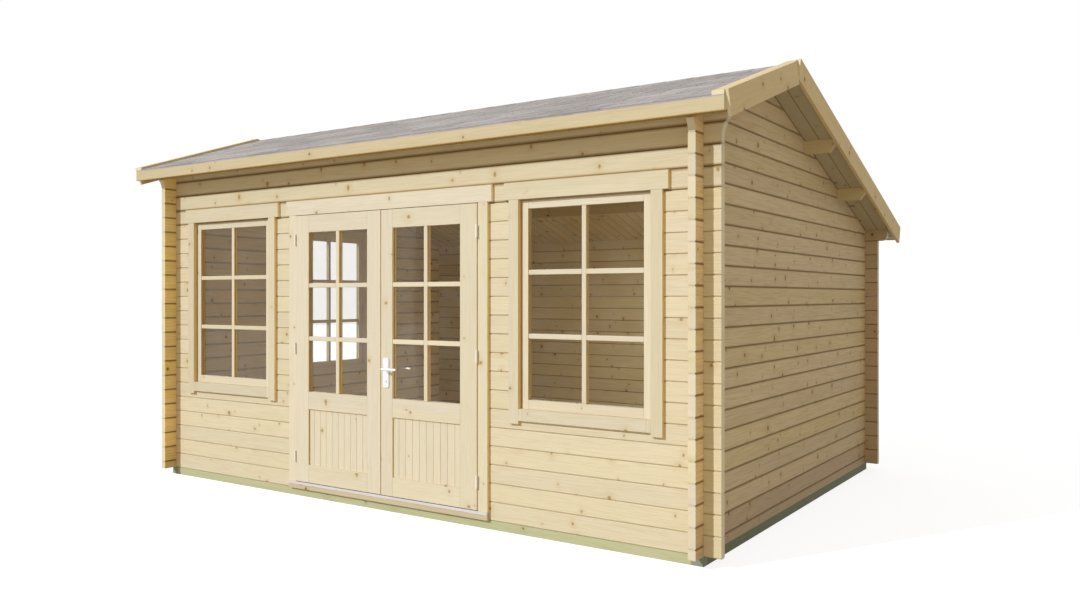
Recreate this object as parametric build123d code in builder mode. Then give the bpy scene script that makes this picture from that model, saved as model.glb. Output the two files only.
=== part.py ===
from build123d import *
import os
from math import cos, radians, sin, tan

# A garden log cabin: interlocking log walls on treated beams, an asymmetric saddle roof on
# purlins, three windows and a glazed double door that opens outwards.
# Millimetres. The origin lies on the ground under the middle of the walls, X runs along the
# front from left to right, Y from the front to the back, Z upwards.

os.makedirs("parts", exist_ok=True)

# ------------------------------------------------------------------ driving dimensions
WALL_LENGTH = 4600  # outer face to outer face of the gable walls
WALL_DEPTH = 3300  # outer face to outer face of the front and rear walls
LOG_HEIGHT = 114  # height that each log adds to a wall
LOG_THICKNESS = 44
LOG_BEVEL = 5  # two bevels make the V-joint between courses
LOG_END = 100  # length of log past the wall that it crosses
JOINT_GAP = 0.4  # hairline between pieces that butt
FITTING_SLACK = 2  # between a wall and the lining or jamb in it
NOTCH_SLACK = 0.3  # sideways clearance of a notch, each side

BEAM_HEIGHT = 55
BEAM_WIDTH = 70
JOIST_WIDTH = 45
JOIST_PITCH = 620
FLOOR_THICKNESS = 19

RIDGE_HEIGHT = 2766  # top of the covering at the ridge, above the wall's foot
RIDGE_Y = -705  # the ridge stands forward of the middle
FRONT_PITCH = 19
REAR_PITCH = 18
FRONT_OVERHANG = 195
REAR_OVERHANG = 245
GABLE_OVERHANG = 196  # up to the bargeboard's inner face
COVERING_THICKNESS = 5
INSULATION_THICKNESS = 73
ROOF_BOARD_THICKNESS = 20
BOARD_EAVE = 115  # length of roof board past the wall's outer face, measured level

FASCIA_THICKNESS = 20
FASCIA_HEIGHT = 74
BARGE_THICKNESS = 20
BARGE_DEPTH = 137
BARGE_UPSTAND = 23  # height of the bargeboard above the covering, measured plumb
BARGE_SETBACK = 86  # from the ridge to the front bargeboard's upper corner
BARGE_SHORT_OF_FASCIA = 4
VERGE_BATTEN_WIDTH = 68  # strip that holds the covering down along each bargeboard

PURLIN_WIDTH = 58
PURLIN_DEPTH = 86
PURLIN_CHAMFER_LENGTH = 33
PURLIN_CHAMFER_HEIGHT = 40
RIDGE_PURLIN_DEPTH = 70
PURLIN_Y = (61, 832)  # middles of the two purlins behind the ridge

CORBEL_REACH = 75  # length that the upper logs add to the log ends
FRONT_CORBEL_FOOT = 2196  # above the wall's foot
FRONT_CORBEL_RISE = 141  # of the cove at the ends of the front wall
GABLE_CORBEL_RISE = 101  # of the cove at the front ends of the gable walls
REAR_CORBEL_RADIUS = 45

WINDOW_X = 1560.5  # middle of a front window
WINDOW_WIDTH = 879  # inside the lining
WINDOW_HEIGHT = 1249
WINDOW_SILL = 698  # above the wall's foot
LINING = 18
SASH_MARGIN = 10  # shadow gap above and beside the sash
SASH_SETBACK = 8.5
SASH_THICKNESS = 35.5
SASH_LIP = 16  # thickness of the narrower front of the sash
SASH_MEMBER = 45
GLASS_THICKNESS = 6
GLASS_BITE = 8  # depth of glass held in its groove

CASING_THICKNESS = 20
CASING_WIDTH = 70.5
HEAD_CASING_HEIGHT = 105
CASING_EAR = 34
SIDE_CASING_DROP = 20  # length of the side casings below the bottom one
INNER_CASING_LIP = 10  # width of the inner casing over the sash

DOOR_WIDTH = 1638  # between the jambs
DOOR_HEAD = 1947  # above the wall's foot
DOOR_CASING_WIDTH = 73
DOOR_CASING_EAR = 30
JAMB = 21
DOOR_STOP = 15
SILL_HEIGHT = 32
THRESHOLD_HEIGHT = 18
SILL_SETBACK = 3  # of the wooden sill behind the threshold's front
LEAF_THICKNESS = 40
LEAF_PROUD = 5  # how far the leaf stands in front of its casing
LEAF_CLEARANCE = 5
MEETING_CLEARANCE = 8
MEETING_OFFSET = 10  # the leaves meet this far to the right of the middle
OUTER_STILE = 131
INNER_STILE = 111  # mean width of the two stiles that meet
TOP_RAIL = 121
BOTTOM_RAIL = 125
LOCK_RAIL_BOTTOM = 573
LOCK_RAIL_TOP = 697
PANEL_THICKNESS = 20
PANEL_BITE = 10

HINGE_HEIGHT = 80
HINGE_PLATE = 2
HINGE_FLAP = 28
HINGE_PIN_RADIUS = 2.5
HINGE_KNUCKLE_RADIUS = 6
HINGE_RUNNING_FIT = 0.05
HINGE_LEVELS = (230, 1000, 1770)  # middles, above the wall's foot

LEVER_HEIGHT = 892
LEVER_INSET = 47  # from the leaf's meeting edge to the spindle
LEVER_LENGTH = 130
LEVER_STANDOFF = 50
LEVER_RADIUS = 8
LEVER_BEND = 14
LEVER_NECK_CLEARANCE = 1
SPINDLE_RADIUS = 5
SPINDLE_CLEARANCE = 0.05
LOCK_BORE = 9
PLATE_WIDTH = 50
PLATE_HEIGHT = 195
PLATE_THICKNESS = 6
PLATE_RADIUS = 10
PLATE_CENTRE = 865
CYLINDER_HEIGHT = 810
CYLINDER_RADIUS = 9
CYLINDER_PROUD = 5

# ------------------------------------------------------------------ worked out
FOOT = BEAM_HEIGHT  # level of the wall's foot
HALF_LENGTH = WALL_LENGTH / 2
HALF_DEPTH = WALL_DEPTH / 2
FRONT_Y = -HALF_DEPTH
GABLE_CENTRE = HALF_LENGTH - LOG_THICKNESS / 2
EAVE_CENTRE = HALF_DEPTH - LOG_THICKNESS / 2
X_REACH = HALF_LENGTH + LOG_END
Y_REACH = HALF_DEPTH + LOG_END
ROOF_REACH = HALF_LENGTH + GABLE_OVERHANG  # inner face of the bargeboards
FAR = 4 * WALL_LENGTH

ROOF_THICKNESS = COVERING_THICKNESS + INSULATION_THICKNESS + ROOF_BOARD_THICKNESS
LEAF_FRONT = FRONT_Y - CASING_THICKNESS - LEAF_PROUD  # outer face of the leaves


def roof_level(y, depth):
    """Height over y of the surface that lies this deep below the covering, measured square."""
    if y < RIDGE_Y:
        pitch, run = radians(FRONT_PITCH), RIDGE_Y - y
    else:
        pitch, run = radians(REAR_PITCH), y - RIDGE_Y
    return FOOT + RIDGE_HEIGHT - run * tan(pitch) - depth / cos(pitch)


def ridge_of(depth):
    """Where the two surfaces of that depth cross: (y, z)."""
    front = radians(FRONT_PITCH)
    rear = radians(REAR_PITCH)
    drop = depth / cos(front) - depth / cos(rear)
    shift = drop / (tan(front) + tan(rear))
    return RIDGE_Y + shift, FOOT + RIDGE_HEIGHT - depth / cos(rear) - shift * tan(rear)


def export(part, name):
    part.label = name
    export_step(part, f"parts/{name}.step")


def timber(low, high):
    """A squared timber between two corners."""
    with BuildPart() as piece:
        with Locations(tuple(low)):
            Box(*(b - a for a, b in zip(low, high)), align=(Align.MIN, Align.MIN, Align.MIN))
    return piece.part


# ------------------------------------------------------------------ foundation and floor
inner_beam = HALF_DEPTH - BEAM_WIDTH
with BuildPart() as foundation_beams:
    for side in (-1, 1):
        with Locations((0, side * (HALF_DEPTH - BEAM_WIDTH / 2), BEAM_HEIGHT / 2)):
            Box(WALL_LENGTH, BEAM_WIDTH, BEAM_HEIGHT)
        with Locations((side * (HALF_LENGTH - BEAM_WIDTH / 2), 0, BEAM_HEIGHT / 2)):
            Box(BEAM_WIDTH, 2 * (inner_beam - JOINT_GAP), BEAM_HEIGHT)
export(foundation_beams.part, "foundation_beams")

joist_count = 2 * int((HALF_LENGTH - BEAM_WIDTH - JOIST_WIDTH) / JOIST_PITCH) + 1
with BuildPart() as floor_joists:
    with GridLocations(JOIST_PITCH, 1, joist_count, 1):
        Box(
            JOIST_WIDTH,
            2 * (inner_beam - JOINT_GAP),
            BEAM_HEIGHT,
            align=(Align.CENTER, Align.CENTER, Align.MIN),
        )
export(floor_joists.part, "floor_joists")

floor_half_length = HALF_LENGTH - LOG_THICKNESS - SASH_MARGIN
floor_half_depth = HALF_DEPTH - LOG_THICKNESS - SASH_MARGIN
with BuildPart() as floor_boards:
    with Locations((0, 0, BEAM_HEIGHT)):
        Box(
            2 * floor_half_length,
            2 * floor_half_depth,
            FLOOR_THICKNESS,
            align=(Align.CENTER, Align.CENTER, Align.MIN),
        )
    # room for the inner door casings, which stand on the beam
    for side in (-1, 1):
        with Locations((side * (DOOR_WIDTH + DOOR_CASING_WIDTH - DOOR_STOP) / 2, -floor_half_depth)):
            Box(
                DOOR_CASING_WIDTH + DOOR_STOP + 2 * FITTING_SLACK,
                2 * CASING_THICKNESS,
                WALL_DEPTH,
                mode=Mode.SUBTRACT,
            )
export(floor_boards.part, "floor_boards")

# ------------------------------------------------------------------ space above the walls
apex_y, apex_z = ridge_of(ROOF_THICKNESS)
with BuildPart() as roof_space:
    with BuildSketch(Plane.YZ.offset(-FAR / 2)):
        with BuildLine():
            Polyline(
                (-FAR, roof_level(-FAR, ROOF_THICKNESS) - JOINT_GAP),
                (apex_y, apex_z - JOINT_GAP),
                (FAR, roof_level(FAR, ROOF_THICKNESS) - JOINT_GAP),
                (FAR, FAR),
                (-FAR, FAR),
                close=True,
            )
        make_face()
    extrude(amount=FAR)


# ------------------------------------------------------------------ log walls
def courses(first, last_level):
    """Levels of the undersides of the logs, from the first up to the one that meets the roof."""
    count = int((last_level - first) / LOG_HEIGHT) + 1
    return [first + k * LOG_HEIGHT for k in range(count)]


def logs(plane, middle, start, end, levels):
    """Bevelled logs lying on each other along the plane's normal, each a solid of its own."""
    with BuildPart() as stack:
        with BuildSketch(plane.offset(start)) as ends:
            with Locations(*[(middle, level + LOG_HEIGHT / 2) for level in levels]):
                Rectangle(LOG_THICKNESS, LOG_HEIGHT - JOINT_GAP)
            chamfer(ends.vertices(), LOG_BEVEL)
        extrude(amount=end - start)
    return stack.part


def notches(centres_x, centres_y, levels):
    """Half-height gaps under the logs where they cross, which sit over the other wall's logs."""
    side = LOG_THICKNESS + 2 * NOTCH_SLACK
    height = LOG_HEIGHT / 2 + JOINT_GAP
    with BuildPart() as gaps:
        with Locations(*[(x, y, z) for x in centres_x for y in centres_y for z in levels]):
            with Locations((0, 0, LOG_HEIGHT / 4)):
                Box(side, side, height)
    return gaps.part


def corbel_waste(reach, bottom, rise=None):
    """What is cut from the lengthened upper logs, drawn in a plane of distance and height.

    The ends swell outwards in a cove of that rise, or else have one rounded corner."""
    end = reach + CORBEL_REACH
    past = end + LOG_END
    with BuildSketch(Plane.XZ) as waste:
        with BuildLine():
            if rise:
                curve = TangentArc((reach, bottom), (end, bottom + rise), tangent=(0, 1))
            else:
                radius = REAR_CORBEL_RADIUS
                curve = RadiusArc((end - radius, bottom), (end, bottom + radius), -radius)
            start, stop = curve @ 0, curve @ 1
            below = bottom - LOG_HEIGHT
            Polyline(stop, (past, stop.Y), (past, below), (start.X, below), start)
        make_face()
    return waste.sketch_local


# openings in the walls: the lining or jamb and the slack round it
WINDOW_CUT_HALF = WINDOW_WIDTH / 2 + LINING + FITTING_SLACK
WINDOW_CUT_BOTTOM = FOOT + WINDOW_SILL - LINING - FITTING_SLACK
WINDOW_CUT_TOP = FOOT + WINDOW_SILL + WINDOW_HEIGHT + LINING + FITTING_SLACK
DOOR_CUT_HALF = DOOR_WIDTH / 2 + JAMB + FITTING_SLACK
DOOR_CUT_TOP = FOOT + DOOR_HEAD + JAMB + FITTING_SLACK

front_levels = courses(FOOT, roof_level(FRONT_Y, ROOF_THICKNESS))
rear_levels = courses(FOOT, roof_level(HALF_DEPTH, ROOF_THICKNESS))
gable_levels = courses(FOOT - LOG_HEIGHT / 2, apex_z)
corner_x = (-GABLE_CENTRE, GABLE_CENTRE)


def window_cut(x):
    low = (x - WINDOW_CUT_HALF, FRONT_Y - LOG_THICKNESS, WINDOW_CUT_BOTTOM)
    high = (x + WINDOW_CUT_HALF, FRONT_Y + 2 * LOG_THICKNESS, WINDOW_CUT_TOP)
    return timber(low, high)


def wall_along_x(stacks, y, levels, cuts):
    """Front or rear wall: its logs, less the corner notches, the roof and any openings."""
    with BuildPart() as wall:
        for stack in stacks:
            add(stack)
        for cut in (notches(corner_x, (y,), levels), roof_space.part, *cuts):
            add(cut, mode=Mode.SUBTRACT)
    return wall.part


def corbel_cuts(y, profile):
    """Waste at both ends of the lengthened logs of a front or rear wall."""
    with BuildPart() as waste:
        with BuildSketch(Plane.XZ.offset(-y - LOG_THICKNESS)):
            add(profile)
            mirror(profile, about=Plane.YZ)
        extrude(amount=2 * LOG_THICKNESS)
    return waste.part


side_levels = [level for level in front_levels if level + LOG_HEIGHT <= DOOR_CUT_TOP]
over_levels = front_levels[len(side_levels) :]
long_reach = X_REACH + CORBEL_REACH

for name, sign in (("front_wall_left", -1), ("front_wall_right", 1)):
    start, end = sorted((sign * X_REACH, sign * DOOR_CUT_HALF))
    stack = logs(Plane.YZ, -EAVE_CENTRE, start, end, side_levels)
    export(wall_along_x([stack], -EAVE_CENTRE, front_levels, [window_cut(sign * WINDOW_X)]), name)

doorway = timber(
    (-DOOR_CUT_HALF, FRONT_Y - LOG_THICKNESS, 0),
    (DOOR_CUT_HALF, FRONT_Y + 2 * LOG_THICKNESS, DOOR_CUT_TOP),
)
over_stacks = [
    logs(Plane.YZ, -EAVE_CENTRE, -X_REACH, X_REACH, over_levels[:-2]),
    logs(Plane.YZ, -EAVE_CENTRE, -long_reach, long_reach, over_levels[-2:]),
]
front_profile = corbel_waste(X_REACH, FOOT + FRONT_CORBEL_FOOT, FRONT_CORBEL_RISE)
front_corbels = corbel_cuts(-EAVE_CENTRE, front_profile)
over_cuts = [doorway, window_cut(-WINDOW_X), window_cut(WINDOW_X), front_corbels]
export(wall_along_x(over_stacks, -EAVE_CENTRE, front_levels, over_cuts), "front_wall_over_door")

rear_stacks = [
    logs(Plane.YZ, EAVE_CENTRE, -X_REACH, X_REACH, rear_levels[:-1]),
    logs(Plane.YZ, EAVE_CENTRE, -long_reach, long_reach, rear_levels[-1:]),
]
rear_corbels = corbel_cuts(EAVE_CENTRE, corbel_waste(X_REACH, rear_levels[-1]))
export(wall_along_x(rear_stacks, EAVE_CENTRE, rear_levels, [rear_corbels]), "rear_wall")


# ------------------------------------------------------------------ purlins
def purlin(low_y, high_y, bottom, slack):
    """A purlin across the whole roof, its top dressed to the roof boards and its ends chamfered."""
    end = ROOF_REACH - JOINT_GAP
    with BuildPart() as bar:
        with BuildSketch(Plane.XZ.offset(-high_y - slack)):
            with BuildLine():
                Polyline(
                    (-end, bottom + PURLIN_CHAMFER_HEIGHT),
                    (-end + PURLIN_CHAMFER_LENGTH, bottom - slack),
                    (end - PURLIN_CHAMFER_LENGTH, bottom - slack),
                    (end, bottom + PURLIN_CHAMFER_HEIGHT),
                    (end, bottom + LOG_END + LOG_HEIGHT),
                    (-end, bottom + LOG_END + LOG_HEIGHT),
                    close=True,
                )
            make_face()
        extrude(amount=high_y - low_y + 2 * slack)
        if slack == 0:
            add(roof_space.part, mode=Mode.SUBTRACT)
    return bar.part


def ridge_purlin(slack):
    """The purlin under the ridge, which ends half-way into the gable walls."""
    end = GABLE_CENTRE - JOINT_GAP + slack
    half = PURLIN_WIDTH / 2 + slack
    low = (-end, apex_y - half, apex_z - RIDGE_PURLIN_DEPTH - slack)
    with BuildPart() as bar:
        add(timber(low, (end, apex_y + half, apex_z)))
        add(roof_space.part, mode=Mode.SUBTRACT)
    return bar.part


purlin_seats = []
for y in PURLIN_Y:
    front_face = y - PURLIN_WIDTH / 2
    purlin_foot = roof_level(front_face, ROOF_THICKNESS) - PURLIN_DEPTH
    purlin_seats.append((front_face, y + PURLIN_WIDTH / 2, purlin_foot))
with BuildPart() as purlins:
    add(ridge_purlin(slack=0))
    for seat in purlin_seats:
        add(purlin(*seat, slack=0))
export(purlins.part, "purlins")

# ------------------------------------------------------------------ gable walls
eave_centres = (-EAVE_CENTRE, EAVE_CENTRE)
between_eaves = HALF_DEPTH - LOG_THICKNESS - NOTCH_SLACK
front_corbel_level = max(level for level in gable_levels if level < roof_level(-Y_REACH, ROOF_THICKNESS))
rear_corbel_level = max(level for level in gable_levels if level < roof_level(Y_REACH, ROOF_THICKNESS))
gable_window = timber(
    (-HALF_LENGTH - LOG_THICKNESS, -WINDOW_CUT_HALF, WINDOW_CUT_BOTTOM),
    (-HALF_LENGTH + 2 * LOG_THICKNESS, WINDOW_CUT_HALF, WINDOW_CUT_TOP),
)
below_foot = timber((-FAR / 2, -FAR / 2, -LOG_HEIGHT), (FAR / 2, FAR / 2, FOOT))

with BuildPart() as gable_corbels:
    front_profile = corbel_waste(Y_REACH, front_corbel_level, GABLE_CORBEL_RISE)
    with BuildSketch(Plane.YZ.offset(-FAR / 2)):
        mirror(front_profile, about=Plane.YZ)
        add(corbel_waste(Y_REACH, rear_corbel_level))
    extrude(amount=FAR)

for name, sign in (("left_gable_wall", -1), ("right_gable_wall", 1)):
    x = sign * GABLE_CENTRE
    plain = [level for level in gable_levels if level < rear_corbel_level]
    middle = [level for level in gable_levels if rear_corbel_level < level < front_corbel_level]
    upper = [level for level in gable_levels if level > front_corbel_level]
    reach = Y_REACH + CORBEL_REACH
    stacks = [
        logs(Plane.XZ, x, -Y_REACH, Y_REACH, plain),
        logs(Plane.XZ, x, -reach, Y_REACH, [rear_corbel_level]),
        logs(Plane.XZ, x, -between_eaves, Y_REACH, middle),
        logs(Plane.XZ, x, -between_eaves, reach, [front_corbel_level]),
        logs(Plane.XZ, x, -between_eaves, between_eaves, upper),
    ]
    seats = [purlin(*seat, slack=JOINT_GAP) for seat in purlin_seats]
    seats.append(ridge_purlin(slack=2 * JOINT_GAP))
    corner_notches = notches((x,), eave_centres, gable_levels)
    cuts = [corner_notches, roof_space.part, below_foot, gable_corbels.part, *seats]
    if sign < 0:
        cuts.append(gable_window)
    with BuildPart() as wall:
        for stack in stacks:
            add(stack)
        for cut in cuts:
            add(cut, mode=Mode.SUBTRACT)
    export(wall.part, name)

# ------------------------------------------------------------------ roof
FASCIA_Y = {"front": FRONT_Y - FRONT_OVERHANG, "rear": HALF_DEPTH + REAR_OVERHANG}
BOARD_END_Y = {"front": FRONT_Y - BOARD_EAVE, "rear": HALF_DEPTH + BOARD_EAVE}
OUTWARD = {"front": -1, "rear": 1}
PITCH = {"front": FRONT_PITCH, "rear": REAR_PITCH}
roof_half_length = ROOF_REACH - JOINT_GAP


def roof_slab(side, end_y, top, bottom, spans=((-roof_half_length, roof_half_length),)):
    """One layer of one slope, between two depths below the covering, cut plumb at both ends."""
    ridge_y = RIDGE_Y + OUTWARD[side] * JOINT_GAP / 2
    with BuildPart() as slab:
        for start, end in spans:
            with BuildSketch(Plane.YZ.offset(start)):
                with BuildLine():
                    Polyline(
                        (ridge_y, roof_level(ridge_y, top)),
                        (end_y, roof_level(end_y, top)),
                        (end_y, roof_level(end_y, bottom)),
                        (ridge_y, roof_level(ridge_y, bottom)),
                        close=True,
                    )
                make_face()
            extrude(amount=end - start)
    return slab.part


for side, out in OUTWARD.items():
    fascia_back = FASCIA_Y[side] - out * (FASCIA_THICKNESS + JOINT_GAP)
    boards_top = COVERING_THICKNESS + INSULATION_THICKNESS
    export(roof_slab(side, FASCIA_Y[side], 0, COVERING_THICKNESS), f"{side}_roof_covering")
    export(roof_slab(side, fascia_back, COVERING_THICKNESS, boards_top), f"{side}_roof_insulation")
    export(roof_slab(side, BOARD_END_Y[side], boards_top, ROOF_THICKNESS), f"{side}_roof_boards")

    # the fascia closes the eave below the covering, its top planed to the slope
    outer = FASCIA_Y[side]
    inner = outer - out * FASCIA_THICKNESS
    fascia_foot = roof_level(outer, COVERING_THICKNESS) - FASCIA_HEIGHT
    with BuildPart() as fascia:
        with BuildSketch(Plane.YZ):
            with BuildLine():
                Polyline(
                    (outer, fascia_foot),
                    (outer, roof_level(outer, COVERING_THICKNESS) - JOINT_GAP),
                    (inner, roof_level(inner, COVERING_THICKNESS) - JOINT_GAP),
                    (inner, fascia_foot),
                    close=True,
                )
            make_face()
        extrude(amount=roof_half_length, both=True)
    export(fascia.part, f"{side}_fascia")

# The bargeboards are cut square. The rear one's lower corner meets the front one's end, which
# leaves an open notch above them at the ridge.
front_angle, rear_angle = radians(FRONT_PITCH), radians(REAR_PITCH)
front_upper_y = RIDGE_Y - BARGE_SETBACK
front_upper_z = roof_level(front_upper_y, 0) + BARGE_UPSTAND
ridge_upper_z = FOOT + RIDGE_HEIGHT + BARGE_UPSTAND
rise_to_rear = (
    front_upper_z - ridge_upper_z - RIDGE_Y * tan(rear_angle) + BARGE_DEPTH * cos(rear_angle)
)
rear_upper_y = (
    front_upper_y + rise_to_rear * tan(front_angle) + JOINT_GAP + BARGE_DEPTH * sin(rear_angle)
) / (1 - tan(rear_angle) * tan(front_angle))
rear_upper_z = ridge_upper_z - (rear_upper_y - RIDGE_Y) * tan(rear_angle)
barge_ends = {
    "front": (front_upper_y, front_upper_z),
    "rear": (rear_upper_y, rear_upper_z),
}

# a batten lies on the covering inside each bargeboard, level with its top
batten_inner = ROOF_REACH - VERGE_BATTEN_WIDTH
batten_spans = ((-roof_half_length, -batten_inner), (batten_inner, roof_half_length))

for side, (upper_y, upper_z) in barge_ends.items():
    lower_y = FASCIA_Y[side] - OUTWARD[side] * BARGE_SHORT_OF_FASCIA
    length = abs(lower_y - upper_y) / cos(radians(PITCH[side]))
    turn, corner = (FRONT_PITCH, Align.MAX) if side == "front" else (-REAR_PITCH, Align.MIN)
    with BuildPart() as bargeboards:
        for near in (-ROOF_REACH - BARGE_THICKNESS, ROOF_REACH):
            with BuildSketch(Plane.YZ.offset(near)):
                with Locations(Location((upper_y, upper_z), turn)):
                    Rectangle(length, BARGE_DEPTH, align=(corner, Align.MAX))
            extrude(amount=BARGE_THICKNESS)
        batten_top = -BARGE_UPSTAND * cos(radians(PITCH[side]))
        add(roof_slab(side, FASCIA_Y[side], batten_top, -JOINT_GAP, batten_spans))
    export(bargeboards.part, f"{side}_bargeboards")


# ------------------------------------------------------------------ windows
def upright(x0, x1, y0, y1, z0, z1):
    """A timber between two levels given above the wall's foot."""
    return timber((x0, y0, FOOT + z0), (x1, y1, FOOT + z1))


def board_frame(half, low, high, member, y0, y1):
    """Four boards round an opening, the upper and lower ones between the uprights."""
    inner = half - JOINT_GAP
    pieces = [
        upright(x0, x1, y0, y1, low - member, high + member)
        for x0, x1 in ((-half - member, -half), (half, half + member))
    ]
    pieces.append(upright(-inner, inner, y0, y1, high, high + member))
    pieces.append(upright(-inner, inner, y0, y1, low - member, low))
    return pieces


def members_of(pieces):
    with BuildPart() as group:
        for piece in pieces:
            add(piece)
    return group.part


WINDOW_HALF = WINDOW_WIDTH / 2
WINDOW_TOP = WINDOW_SILL + WINDOW_HEIGHT
SASH_GLASS_HALF = WINDOW_HALF - SASH_MARGIN - SASH_MEMBER
SASH_GLASS_LOW = WINDOW_SILL + SASH_MARGIN + SASH_MEMBER
SASH_GLASS_HIGH = WINDOW_TOP - SASH_MARGIN - SASH_MEMBER
GLASS_Y = SASH_SETBACK + SASH_THICKNESS / 2  # middle of the glass behind the wall's face


def window_frame():
    """Lining and casings of a window whose wall has its outer face in the XZ plane."""
    pieces = board_frame(WINDOW_HALF, WINDOW_SILL, WINDOW_TOP, LINING, JOINT_GAP, LOG_THICKNESS)
    outside = WINDOW_HALF + CASING_WIDTH
    foot = WINDOW_SILL - CASING_WIDTH - SIDE_CASING_DROP
    for x0, x1 in ((-outside, -WINDOW_HALF), (WINDOW_HALF, outside)):
        pieces.append(upright(x0, x1, -CASING_THICKNESS, 0, foot, WINDOW_TOP - JOINT_GAP))
    ear = outside + CASING_EAR
    pieces.append(upright(-ear, ear, -CASING_THICKNESS, 0, WINDOW_TOP, WINDOW_TOP + HEAD_CASING_HEIGHT))
    below = WINDOW_HALF - JOINT_GAP
    pieces.append(
        upright(-below, below, -CASING_THICKNESS, 0, WINDOW_SILL - CASING_WIDTH, WINDOW_SILL)
    )
    back = LOG_THICKNESS + JOINT_GAP
    pieces += board_frame(
        WINDOW_HALF - INNER_CASING_LIP,
        WINDOW_SILL + INNER_CASING_LIP,
        WINDOW_TOP - INNER_CASING_LIP,
        CASING_WIDTH,
        back,
        back + CASING_THICKNESS,
    )
    return members_of(pieces)


def window_sash():
    """Rebated sash of four members, with the groove that holds the glass."""
    lip = WINDOW_HALF - SASH_MARGIN
    rear = WINDOW_HALF - JOINT_GAP
    y0, y1 = SASH_SETBACK, SASH_SETBACK + SASH_LIP
    y2 = SASH_SETBACK + SASH_THICKNESS
    groove = GLASS_THICKNESS / 2 + JOINT_GAP
    with BuildPart() as sash:
        add(upright(-lip, lip, y0, y1, WINDOW_SILL + JOINT_GAP, WINDOW_TOP - SASH_MARGIN))
        add(upright(-rear, rear, y1, y2, WINDOW_SILL + JOINT_GAP, WINDOW_TOP - JOINT_GAP))
        openings = [
            upright(-SASH_GLASS_HALF, SASH_GLASS_HALF, 0, FAR, SASH_GLASS_LOW, SASH_GLASS_HIGH),
            upright(
                -SASH_GLASS_HALF - GLASS_BITE,
                SASH_GLASS_HALF + GLASS_BITE,
                GLASS_Y - groove,
                GLASS_Y + groove,
                SASH_GLASS_LOW - GLASS_BITE,
                SASH_GLASS_HIGH + GLASS_BITE,
            ),
        ]
        for side in (-1, 1):
            joint = sorted((side * SASH_GLASS_HALF, side * (SASH_GLASS_HALF + JOINT_GAP)))
            openings.append(upright(*joint, 0, FAR, 0, FAR))
        for opening in openings:
            add(opening, mode=Mode.SUBTRACT)
    return sash.part


def window_glass():
    bite = GLASS_BITE - JOINT_GAP
    return upright(
        -SASH_GLASS_HALF - bite,
        SASH_GLASS_HALF + bite,
        GLASS_Y - GLASS_THICKNESS / 2,
        GLASS_Y + GLASS_THICKNESS / 2,
        SASH_GLASS_LOW - bite,
        SASH_GLASS_HIGH + bite,
    )


window_places = {
    "left": Location((-WINDOW_X, FRONT_Y, 0)),
    "right": Location((WINDOW_X, FRONT_Y, 0)),
    "gable": Location((-HALF_LENGTH, 0, 0), (0, 0, -90)),
}
window_pieces = {"frame": window_frame(), "sash": window_sash(), "glass": window_glass()}
for where, place in window_places.items():
    for piece_name, piece in window_pieces.items():
        export(place * piece, f"{where}_window_{piece_name}")

# ------------------------------------------------------------------ door frame
DOOR_HALF = DOOR_WIDTH / 2
STOP_HALF = DOOR_HALF - DOOR_STOP
WALL_BACK = FRONT_Y + LOG_THICKNESS
LEAF_BACK = LEAF_FRONT + LEAF_THICKNESS
STOP_FRONT = LEAF_BACK + LEAF_CLEARANCE
CASING_HALF = DOOR_HALF + DOOR_CASING_WIDTH
THRESHOLD_TOP = SILL_HEIGHT + THRESHOLD_HEIGHT
DOOR_HEAD_TOP = DOOR_HEAD + HEAD_CASING_HEIGHT

JAMB_OUTER = DOOR_HALF + JAMB


def sill(front, z0, z1):
    """A board across the doorway, wider in front of the wall than between the logs."""
    with BuildPart() as board:
        with BuildSketch(Plane.XY.offset(FOOT + z0)):
            with Locations((0, front)):
                Rectangle(2 * CASING_HALF, FRONT_Y - front, align=(Align.CENTER, Align.MIN))
            with Locations((0, FRONT_Y)):
                Rectangle(2 * JAMB_OUTER, LOG_THICKNESS, align=(Align.CENTER, Align.MIN))
        extrude(amount=z1 - z0)
    return board.part


export(sill(LEAF_FRONT + SILL_SETBACK, 0, SILL_HEIGHT), "door_sill")
export(sill(LEAF_FRONT, SILL_HEIGHT, THRESHOLD_TOP), "door_threshold")

with BuildPart() as door_frame:
    # jambs rebated for the leaves
    with BuildSketch(Plane.XY.offset(FOOT + THRESHOLD_TOP)) as jamb_profile:
        with BuildLine():
            Polyline(
                (DOOR_HALF, FRONT_Y),
                (JAMB_OUTER, FRONT_Y),
                (JAMB_OUTER, WALL_BACK),
                (STOP_HALF, WALL_BACK),
                (STOP_HALF, STOP_FRONT),
                (DOOR_HALF, STOP_FRONT),
                close=True,
            )
        make_face()
        mirror(about=Plane.YZ)
    extrude(amount=DOOR_HEAD + JAMB - THRESHOLD_TOP)
    # head between them, with the same rebate
    head = DOOR_HALF - JOINT_GAP
    stop = STOP_HALF - JOINT_GAP
    add(upright(-head, head, FRONT_Y, STOP_FRONT - JOINT_GAP, DOOR_HEAD, DOOR_HEAD + JAMB))
    stop_foot = DOOR_HEAD - DOOR_STOP
    add(upright(-stop, stop, STOP_FRONT - JOINT_GAP, WALL_BACK, stop_foot, DOOR_HEAD + JAMB))
export(door_frame.part, "door_frame")

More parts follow.
